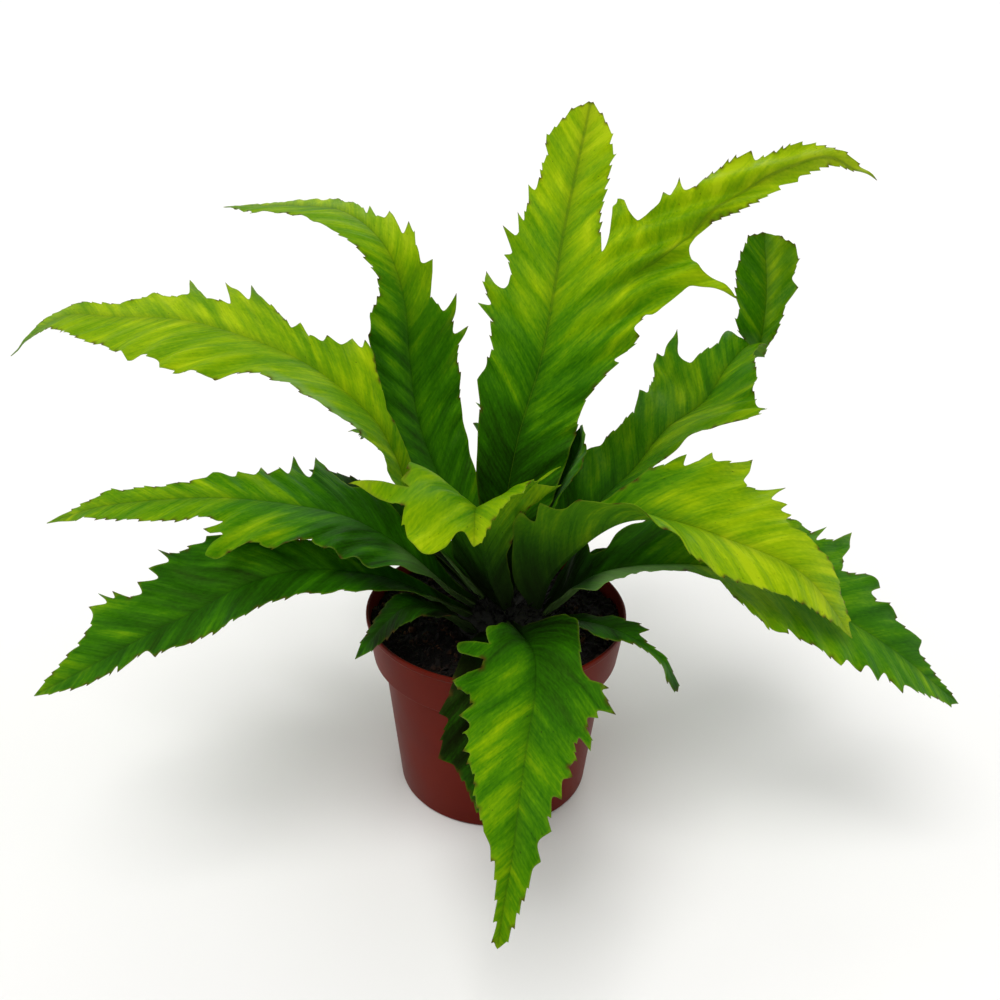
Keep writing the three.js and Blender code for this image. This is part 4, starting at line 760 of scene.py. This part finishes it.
  {"name": "frond_rear_far_left", "slot": "frond_deep", "heading": 148, "tone_and_shade": [0.1, 0.4, 0.55],
   "fold": [30, 15, 5],
   "rib": [[-11, 6, 94], [-38, 22, 112], [-72, 42, 116], [-102, 60, 104], [-127, 75, 82]],
   "left": [[0, 2.2], [25, 8], [48, 12], [60, 18, 1], [63, 12], [80, 13], [90, 18, 1], [93, 10],
    [112, 7], [130, 4]],
   "right": [[0, 2.2], [25, 8], [50, 13], [66, 19, 1], [68, 13], [84, 13], [97, 18, 1], [100, 9],
    [118, 6], [132, 4]]},
  {"name": "frond_rear_right", "slot": "frond_deep", "heading": 17, "tone_and_shade": [0.1, 0.3, 0.5],
   "fold": [30, 15, 5],
   "rib": [[23, 2, 92], [53, 13, 112], [91, 25, 116], [123, 37, 102], [150, 47, 80], [169, 54, 56]],
   "left": [[0, 2.2], [25, 8], [33, 8], [41, 5], [50, 9], [68, 18, 1], [70, 13], [88, 15], [100, 22, 1],
    [102, 15], [120, 12], [132, 17, 1], [135, 9], [155, 5]],
   "right": [[0, 2.2], [25, 8], [50, 15], [62, 21, 1], [65, 15], [82, 17], [94, 23, 1], [97, 15],
    [114, 13], [126, 18, 1], [128, 9], [150, 5]]},
]


def smooth_value(points, share):
    """A smooth curve through points, read at shares from 0 to 1: between two of them it is the
    cubic whose directions at its ends are half the step between the neighbours on either side."""
    points = np.asarray(points, float).reshape(len(points), -1)
    last = len(points) - 1
    ends = np.vstack([2 * points[0] - points[1], points, 2 * points[-1] - points[-2]])
    place = np.clip(share, 0, 1) * last
    step = np.minimum(np.floor(place).astype(int), last - 1)
    part = (place - step)[:, None]
    before, start, end, after = (ends[step + offset] for offset in range(4))
    leave, arrive = (end - before) / 2, (after - start) / 2
    return (start + leave * part + (3 * (end - start) - 2 * leave - arrive) * part ** 2
            + (2 * (start - end) + leave + arrive) * part ** 3)


def curve_lengths(points):
    """Even shares along a smooth curve, and the distance reached at each of them."""
    share = np.linspace(0, 1, CURVE_SAMPLES + 1)
    steps = np.linalg.norm(np.diff(smooth_value(points, share), axis=0), axis=1)
    return share, np.concatenate([[0], np.cumsum(steps)])


def on_curve(points, distance):
    """Places and directions at distances along a smooth curve, which runs straight on past its ends."""
    share, reached = curve_lengths(points)
    inside = np.clip(distance, 0, reached[-1])
    at = np.interp(inside, reached, share)
    nudge = 0.2 / CURVE_SAMPLES
    direction = smooth_value(points, at + nudge) - smooth_value(points, at - nudge)
    direction /= np.linalg.norm(direction, axis=1, keepdims=True)
    return smooth_value(points, at) + direction * (distance - inside)[:, None], direction


def to_left(direction):
    """Flat directions turned a quarter to the left: [x, y] becomes [-y, x]."""
    return np.stack([-direction[:, 1], direction[:, 0]], axis=1)


def within(value, width=1):
    """The value as a share of the width, held between 0 and 1."""
    return np.clip(value / width, 0, 1)


def with_small_teeth(margin, length, draw):
    """A margin with small teeth that lean to the tip, set along the stretches with no large tooth."""
    corners = [margin[0]]
    for previous, corner in zip(margin, margin[1:]):
        gap = math.dist(previous[:2], corner[:2])
        plain = len(previous) == 2 and len(corner) == 2 and corner[0] > previous[0]
        pieces = max(1, round(gap / TOOTH_STEP)) if plain else 1
        for piece in range(1, pieces + 1):
            end = corner
            if piece < pieces:
                end = [a + (b - a) * piece / pieces for a, b in zip(previous, corner)]
            grown = min(1, max(0, end[0] / length - TEETH_START) * 5)
            height = draw.uniform(0.3, 1) * TOOTH_HEIGHT * grown
            if plain and height > TOOTH_LEAST and gap / pieces > TOOTH_STEP / 2:
                corners.append([end[0] + TOOTH_LEAN * height, end[1] + height, 1])
            corners.append(end)
    return with_lobes(corners)


def with_lobes(corners):
    """The same margin where each blunt lobe has two shoulders, set back from its tip."""
    made = []
    for index, corner in enumerate(corners):
        if len(corner) < 3 or corner[2] == 1:
            made.append(corner)
            continue
        tip, before, after = (np.array(corners[place][:2], float)
                              for place in (index, index - 1, index + 1))
        width = LOBE_WIDTH * (before - after)
        made.append((tip + LOBE_REACH * (before - tip) + width).tolist())
        made.append(tip.tolist())
        made.append((tip + LOBE_REACH * (after - tip) - width).tolist())
    return made


def beside(line, corners, side):
    """Flat places of margin corners beside a midline, each as [x, y, sharp]."""
    corners = np.array([[corner[0], corner[1], len(corner) == 3 and corner[2] == 1]
                        for corner in corners], float)
    place, direction = on_curve(line, corners[:, 0])
    flat = place + to_left(direction) * (side * corners[:, 1])[:, None]
    return np.column_stack([flat, corners[:, 2]])


def traced(corners, step):
    """A closed outline through corners: cubic arcs that turn smoothly at plain corners and come to
    a point at sharp ones, sampled about every step. Also says which samples are sharp tips."""
    points, sharp = corners[:, :2], corners[:, 2:] > 0
    ahead = np.roll(points, -1, axis=0) - points
    behind = np.roll(ahead, 1, axis=0)
    lengths = np.linalg.norm(ahead, axis=1)
    shorter = np.minimum(lengths, np.roll(lengths, 1))[:, None]
    turn = (ahead + behind) / 2
    turn *= np.minimum(1, shorter / np.maximum(np.linalg.norm(turn, axis=1, keepdims=True), 1e-6))
    leave = np.where(sharp, ahead, turn)
    arrive = np.roll(np.where(sharp, behind, turn), -1, axis=0)
    count = np.maximum(1, np.ceil(lengths / step)).astype(int)
    part_of = np.repeat(np.arange(len(points)), count)
    first = np.repeat(np.cumsum(count) - count, count)
    part = ((np.arange(count.sum()) - first) / count[part_of])[:, None]
    start, chord, leave, arrive = (each[part_of] for each in (points, ahead, leave, arrive))
    outline = (start + leave * part + (3 * chord - 2 * leave - arrive) * part ** 2
               + (leave + arrive - 2 * chord) * part ** 3)
    return outline, sharp[part_of, 0] & (part[:, 0] == 0)


def nearest(points, targets):
    """Distance from each point to the nearest target, and that target's number. The square of the
    distance is |p|^2 + |t|^2 - 2 p.t, worked out for a block of points at a time."""
    distance, number = [], []
    for block in np.array_split(points, len(points) // 4000 + 1):
        square = (targets ** 2).sum(axis=1) - 2 * block @ targets.T
        best = square.argmin(axis=1)
        least = square[np.arange(len(block)), best] + (block ** 2).sum(axis=1)
        distance.append(np.sqrt(np.maximum(least, 0)))
        number.append(best)
    return np.concatenate(distance), np.concatenate(number)


def along_edge(outline):
    """A closed outline with two more points on each of its short sides, for measuring from it."""
    ahead = np.roll(outline, -1, axis=0) - outline
    return np.concatenate([outline + ahead * part for part in (0, 1 / 3, 2 / 3)])


def rib_points(line, start):
    """Rows of points along a midline and close beside it, so that the midrib has a round section."""
    end = curve_lengths(line)[1][-1] - 1
    place, direction = on_curve(line, np.arange(start, end, BLADE_STEP))
    return np.concatenate([place + to_left(direction) * out for out in RIB_ROWS])


def pressed_flat(frond, draw):
    """The frond as if pressed: its outline, the sharp tips on it, and its points and triangles in
    the plane of [distance along the rib, distance out to the left]."""
    def margin(line, corners, length, side):
        """A margin with its small teeth, in its place beside a midline."""
        return beside(line, with_small_teeth(corners, length, draw), side)

    length = curve_lengths(frond["rib"])[1][-1]
    line = [[0, 0], [length / 2, 0], [length, 0]]
    narrow = frond["left"][-1][1] < TIP_ROUND
    tip = [[length, 0, 1] if narrow else [length, 0]]
    left = margin(line, frond["left"] + tip, length, 1)
    right, fork = frond["right"], frond["fork"]
    ribs = [(line, 0)]
    if fork:
        leaves = right.index("fork")
        fork_length = curve_lengths(fork["line"])[1][-1]
        out, back = (margin(fork["line"], fork[name] + [[fork_length, 0, 1]], fork_length, side)
                     for name, side in [("right", -1), ("left", 1)])
        before, after = (margin(line, corners, length, -1)
                         for corners in (right[:leaves], right[leaves + 1:] + tip))
        right = np.concatenate([before, out, back[:-1][::-1], after])
        ribs.append((fork["line"], FORK_START))
    else:
        right = margin(line, right + tip, length, -1)
    outline, sharp = traced(np.concatenate([right, left[:-1][::-1]]), EDGE_STEP)

    clear = RIB_ROWS[-1] + BLADE_STEP
    foot = np.arange(-60, length + 40, BLADE_STEP)
    reach = np.arange(clear, BLADE_MOST, BLADE_STEP)
    foot, reach = (grid.ravel() for grid in np.meshgrid(foot, reach))
    along = foot + RIPPLE_SLANT * reach + draw.uniform(-0.2, 0.2, len(reach))
    inner = np.concatenate([np.stack([along, reach], axis=1), np.stack([along, -reach], axis=1)])
    if fork:
        spine = on_curve(fork["line"], np.arange(4, fork_length, BLADE_STEP / 2))[0]
        inner = inner[nearest(inner, spine)[0] > RIB_ROWS[-1] + BLADE_STEP / 2]
    inner = np.concatenate([inner] + [rib_points(*rib) for rib in ribs])
    low, high = outline.min(axis=0), outline.max(axis=0)
    inner = inner[((inner > low) & (inner < high)).all(axis=1)]
    inner = inner[nearest(inner, along_edge(outline))[0] > EDGE_STEP * 0.6]
    around = np.arange(len(outline))
    edges = np.stack([around, np.roll(around, -1)], axis=1)
    made = delaunay_2d_cdt(np.concatenate([outline, inner]).tolist(), edges.tolist(), [], 1, 1e-5)
    flat, faces = np.array(made[0]), np.array(made[2])
    used = np.unique(faces)
    flat, faces = flat[used], np.searchsorted(used, faces)
    a, b, c = (flat[faces[:, corner]] for corner in range(3))
    area = (b[:, 0] - a[:, 0]) * (c[:, 1] - a[:, 1]) - (c[:, 0] - a[:, 0]) * (b[:, 1] - a[:, 1])
    faces[area < 0] = faces[area < 0][:, ::-1]
    return outline, outline[sharp], flat, faces


def beside_fork(flat, line):
    """Distance along and out from a fork's own midline, and how far in the fork each point lies."""
    along = np.linspace(0, curve_lengths(line)[1][-1], 400)
    spine, direction = on_curve(line, along)
    number = nearest(flat, spine)[1]
    apart = flat - spine[number]
    out = (apart * to_left(direction)[number]).sum(axis=1)
    along = along[number] + (apart * direction[number]).sum(axis=1)
    inside = within(along + 2, 30) * within(FORK_MOST - np.abs(out), 6)
    return along, out, inside * (flat[:, 1] < -8)


def bent_frond(frond, number):
    """A frond's mesh. A point that lies `along` the rib and `out` from it goes to the rib's place
    there, plus its reach out along the sideways direction, tilted by fold - curl * reach / 2, plus a
    ripple along the side veins. Pleats, a midrib and a thin edge follow, on both faces alike."""
    draw = np.random.default_rng(number + 100)
    outline, tips, flat, faces = pressed_flat(frond, draw)
    along, out = flat.T
    place, forward = on_curve(frond["rib"], along)
    share = within(along, curve_lengths(frond["rib"])[1][-1])
    heading = math.radians(frond["heading"])
    sideways = np.array([-math.sin(heading), math.cos(heading), 0])
    left = sideways - forward * (forward @ sideways)[:, None]
    left /= np.linalg.norm(left, axis=1, keepdims=True)
    up = np.cross(forward, left)
    roll, fold, curl = (np.radians(smooth_value(frond[name], share))
                        for name in ("roll", "fold", "curl"))
    left, up = left * np.cos(roll) + up * np.sin(roll), up * np.cos(roll) - left * np.sin(roll)
    reach, side = np.abs(out)[:, None], np.sign(out)[:, None]
    mean = fold - curl * reach / 2
    ripple_foot = along[:, None] - RIPPLE_SLANT * reach
    wave = 2 * np.pi * ripple_foot / RIPPLE_LENGTH + np.where(side > 0, 0, RIPPLE_SHIFT)
    ripple = RIPPLE_HEIGHT * np.minimum(reach / RIPPLE_REACH, RIPPLE_MOST) ** 2 * np.sin(wave)
    middle = place + left * reach * np.cos(mean) * side + up * (reach * np.sin(mean) + ripple)
    slope = np.where(reach > 0, fold - curl * reach, 0)
    facing = up * np.cos(slope) - left * side * np.sin(slope)

    # How each point lies to the side veins, the midribs and the margin.
    vein_foot, vein_out, rib_out = along - VEIN_SLANT * np.abs(out), out, np.abs(out)
    if frond["fork"]:
        fork_along, fork_out, in_fork = beside_fork(flat, frond["fork"]["line"])
        root = frond["fork"]["line"][0]
        spread = fork_out - np.sign(fork_out) * np.maximum(fork_along, 0) / FORK_SLANT
        fork_foot = root[0] - VEIN_SLANT * abs(root[1]) + VEIN_SLANT * spread
        vein_foot = vein_foot + (fork_foot - vein_foot) * in_fork
        vein_out = out + (root[1] - fork_along - out) * in_fork
        rib_out = np.minimum(rib_out, np.abs(fork_out) + np.clip((14 - fork_along) / 12, 0, 9))
    edge = nearest(flat, along_edge(outline))[0]

    # Relief: pleats along the side veins, a frilled margin and a slow swell.
    seed = number * 5
    drift = 3 * grain(vein_foot, vein_out, PLEAT_DRIFT, seed + 1)
    strength = 0.5 + 0.5 * grain(vein_foot, vein_out, PLEAT_PATCH, seed + 2)
    pleat = sum(height * np.sin(2 * np.pi * vein_foot / (PLEAT_LENGTH * length) + drift)
                for height, length in PLEATS)
    relief = (PLEAT_HEIGHT * strength * pleat * within(rib_out - 1.5, 6)
              + FRILL_HEIGHT * grain(along, out, FRILL_SIZE, seed + 3) * np.exp(-edge / FRILL_REACH)
              * within(share * 3)
              + SWELL_HEIGHT * grain(along, out, SWELL_SIZE, seed + 4) * within(np.abs(out), 12))
    middle = middle + facing * relief[:, None]

    # Thickness: a thinner edge, a thick stalk, and a midrib that is a groove above, a keel below.
    thickness = BLADE * (BLADE_EDGE + (1 - BLADE_EDGE) * within(edge, 1.2))
    thickness = thickness + STALK * np.exp(-along / 16) * within(1.3 - np.abs(out) / 6)
    groove = GROOVE * np.exp(-(rib_out / GROOVE_WIDTH) ** 2) * (1 - 0.6 * share)
    keel = (KEEL + (KEEL_TIP - KEEL) * share) * np.exp(-(rib_out / KEEL_WIDTH) ** 2)
    top = middle + facing * (thickness / 2 - groove)[:, None]
    under = middle - facing * (thickness / 2 + keel)[:, None]

    # Faces: the blade's two faces, and walls along the sides that only one triangle has.
    count = len(flat)
    sides = np.concatenate([faces[:, [0, 1]], faces[:, [1, 2]], faces[:, [2, 0]]])
    code = sides.min(axis=1) * count + sides.max(axis=1)
    first, times = np.unique(code, return_index=True, return_counts=True)[1:]
    start, end = sides[first[times == 1]].T
    walls = np.concatenate([np.stack([start + count, end + count, end], axis=1),
                            np.stack([start + count, end, start], axis=1)])
    faces = np.concatenate([faces, faces[:, ::-1] + count, walls])

    # Layers for the material: some tips are browned, and where the margin rolls over it is pale.
    browned = tips[draw.uniform(size=len(tips)) < BROWN_SHARE] if len(tips) else tips
    brown = np.zeros(count)
    if len(browned):
        brown = within(1.25 - nearest(flat, browned)[0] / BROWN_REACH)
    # Tone along the frond: the frond's own colour, darker at the stalk, with painted shade at the base
    # and on low, steep stretches.
    tone_and_shade = smooth_value(frond["tone_and_shade"], share)[:, 0]
    # Painted light on one half of the blade and painted shade on the other, as a step of tone.
    tone_and_shade = tone_and_shade + 0.5 * frond["lit_halves"] * np.clip(out / 3, -1, 1)
    rolled = np.zeros(count)
    for rolled_side, start, end, inner, amount in frond["rolled"]:
        window = within(along - start, ROLLED_FADE) * within(end - along, ROLLED_FADE)
        rolled = np.maximum(rolled, amount * window * within(rolled_side * out - inner, 2))
    veins = np.stack([vein_foot, vein_out, np.full(count, number * 40.0)], axis=1)
    state = np.stack([tone_and_shade, edge, brown], axis=1)
    layers = [("vein_place", np.tile(veins, (2, 1))), ("leaf_state", np.tile(state, (2, 1))),
              ("rib_distance", np.tile(rib_out + 0.8 * (1 - frond["midrib"]), 2)),
              ("underside", np.concatenate([rolled, np.full(count, frond["pale"])]))]
    return np.concatenate([top, under]), faces, layers


def frond_material(name, stops):
    """A living frond: a waxy skin over green tissue that lets light through. The tone attribute
    picks a colour between shaded base and sunlit tip, the frond's own colour with painted shade
    over it; light and dark stripes along the side veins paint the pleats' light and shade; and the
    midrib with painted shade beside it, painted shade near the crown, the paler underside, a
    painted highlight along the margin and brown tooth tips lie over it."""
    material, tree = new_material(name)
    veins, leaf_state, from_rib, under = (
        add(tree, "Attribute", {}, out=out, attribute_name=label)
        for label, out in [("vein_place", "Vector"), ("leaf_state", "Vector"),
                           ("rib_distance", "Fac"), ("underside", "Fac")])
    tone_and_shade, edge, brown = (add(tree, "SeparateXYZ", {0: leaf_state}, out=axis) for axis in "XYZ")
    place = add(tree, "TexCoord", {}, out="Object")

    def drawn_out(across, along, detail):
        """A noise of so many grains to the millimetre, across and along the side veins."""
        drawn = add(tree, "VectorMath", {0: veins, 1: (across, along, 1)}, operation="MULTIPLY")
        return add(tree, "TexNoise", {"Vector": drawn, "Scale": 1, "Detail": detail})

    broad, middling, fine, clouds, mottle, specks = (
        drawn_out(*sizes) for sizes in
        [(0.1, 0.028, 1), (0.27, 0.05, 1), (0.85, 0.1, 1), (0.04, 0.06, 2), (0.7, 0.7, 2),
         (0.9, 0.9, 1)])
    changes = [add(tree, "MapRange", {0: noise, 1: 0.3, 2: 0.7, 3: -shift, 4: shift})
               for noise, shift in [(broad, 0.12), (middling, 0.07), (fine, 0.042),
                                    (clouds, 0.08), (mottle, 0.045)]]
    patchy = add(tree, "MapRange", {0: clouds, 1: 0.35, 2: 0.65, 3: 0.35, 4: 1.25})
    # Painted light and shade of the pleats: broad and middling light and dark stripes along the side
    # veins, in patches.
    pleat_light_and_shade = add(tree, "Math", {0: changes[0], 1: changes[1]}, operation="ADD")
    pleat_light_and_shade = add(tree, "Math", {0: pleat_light_and_shade, 1: patchy}, operation="MULTIPLY")
    lightness_and_shade = tone_and_shade
    for change in [pleat_light_and_shade] + changes[2:]:
        lightness_and_shade = add(tree, "Math", {0: lightness_and_shade, 1: change}, operation="ADD")
    color = add(tree, "ValToRGB", {"Fac": lightness_and_shade}, stops=stops)

    # What lies over the tone, from the bottom up: a broad and a narrow band of painted shade in the
    # crease beside the midrib, and its own light ridge, a painted highlight along the thin margin,
    # painted shade near the crown, the pale underside, dark specks and brown tips. The painted margin
    # highlight only shows where the blade is light.
    crown_top = (CROWN_X * MM, CROWN_Y * MM, CROWN_TOP * MM)
    # Painted shade: within 15 mm of the crown's top the blades go most of the way to near black green,
    # fading out by 50 mm, where the stalks crowd.
    from_crown = add(tree, "VectorMath", {0: place, 1: crown_top}, out="Value", operation="DISTANCE")
    # Painted highlight: a yellow green line along the thin margin, where its edge catches the light,
    # dimmed by the clouds and where the tone is dark.
    margin_highlight = add(tree, "MapRange", {0: edge, 1: 0.1, 2: 0.8, 3: 1, 4: 0})
    light = add(tree, "MapRange", {0: tone_and_shade, 1: 0.1, 2: 0.5, 3: 0.05, 4: 0.8})
    for limit in (clouds, light):
        margin_highlight = add(tree, "Math", {0: margin_highlight, 1: limit}, operation="MULTIPLY")
    # The first two bands paint the shade in the crease beside the midrib; the third is the midrib's own
    # pale ridge.
    for share, ends, over in [
            (from_rib, (0.6, 6, 0.25, 0), "#153d02"), (from_rib, (0.5, 1.1, 0.3, 0), "#143a02"),
            (from_rib, (0.15, 0.4, 0.3, 0), "#75a01c"), (margin_highlight, None, "#7f9420"),
            (from_crown, (0.015, 0.05, 0.8, 0), "#071002"), (under, None, "#7ea65a"),
            (specks, (0.73, 0.78, 0, 0.7), "#1c2405"), (brown, None, "#4b3312")]:
        if ends:
            share = add(tree, "MapRange", {0: share, **dict(enumerate(ends, 1))})
        color = add(tree, "Mix", {"Factor": share, 6: color, 7: linear(over)}, out=2,
                    data_type="RGBA")

    vein_relief = add(tree, "Bump", {"Strength": 0.3, "Distance": 0.0006, "Height": fine})
    skin = add(tree, "TexNoise", {"Vector": place, "Scale": 900, "Detail": 2})
    relief = add(tree, "Bump", {"Strength": 0.1, "Distance": 0.0002, "Height": skin,
                                "Normal": vein_relief})
    gloss = add(tree, "MapRange", {0: broad, 1: 0.3, 2: 0.7, 3: 0.42, 4: 0.55})
    surface = add(tree, "BsdfPrincipled", {
        "Base Color": color, "Roughness": gloss, "IOR": 1.45, "Specular IOR Level": 0.2,
        "Specular Tint": linear("#b4cf6a"), "Normal": relief})
    glow = add(tree, "HueSaturation", {"Saturation": 1.1, "Value": 1.3, "Color": color})
    through = add(tree, "BsdfTranslucent", {"Color": glow})
    both = add(tree, "MixShader", {0: 0.25, 1: surface, 2: through})
    add(tree, "OutputMaterial", {"Surface": both})
    return material


# Each ramp runs from near black green, partly the stalks' own dark colour and partly painted shade at
# the base among the stalks, to light yellow green.
frond_materials = {
    "frond_bright": frond_material("young_frond", [
        (0, "#070d01"), (0.15, "#122a03"), (0.3, "#205002"), (0.45, "#306e02"), (0.6, "#518c02"),
        (0.75, "#7ca802"), (0.9, "#9fbf04"), (1, "#b5cd10")]),
    "frond_green": frond_material("grown_frond", [
        (0, "#070d01"), (0.15, "#112903"), (0.3, "#1e4d02"), (0.45, "#2c6a02"), (0.6, "#478702"),
        (0.75, "#70a103"), (0.9, "#94b905"), (1, "#adc812")]),
    "frond_deep": frond_material("old_frond", [
        (0, "#060c01"), (0.15, "#102703"), (0.3, "#1c4902"), (0.45, "#286303"), (0.6, "#3c7c03"),
        (0.75, "#5f9604"), (0.9, "#87b009"), (1, "#a3c016")]),
}

for number, named in enumerate(FRONDS):
    frond = {**USUAL, **named}
    points, faces, layers = bent_frond(frond, number)
    piece = new_mesh(frond["name"].replace("frond", "blade", 1), points, faces,
                     frond_materials[frond["slot"]])
    for label, values in layers:
        kind, key = ("FLOAT_VECTOR", "vector") if values.ndim == 2 else ("FLOAT", "value")
        layer = piece.data.attributes.new(label, kind, "POINT")
        layer.data.foreach_set(key, values.ravel())
    piece.data.set_sharp_from_angle(angle=math.radians(BLADE_CREASE))
    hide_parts(frond["name"])
    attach(piece, "root")
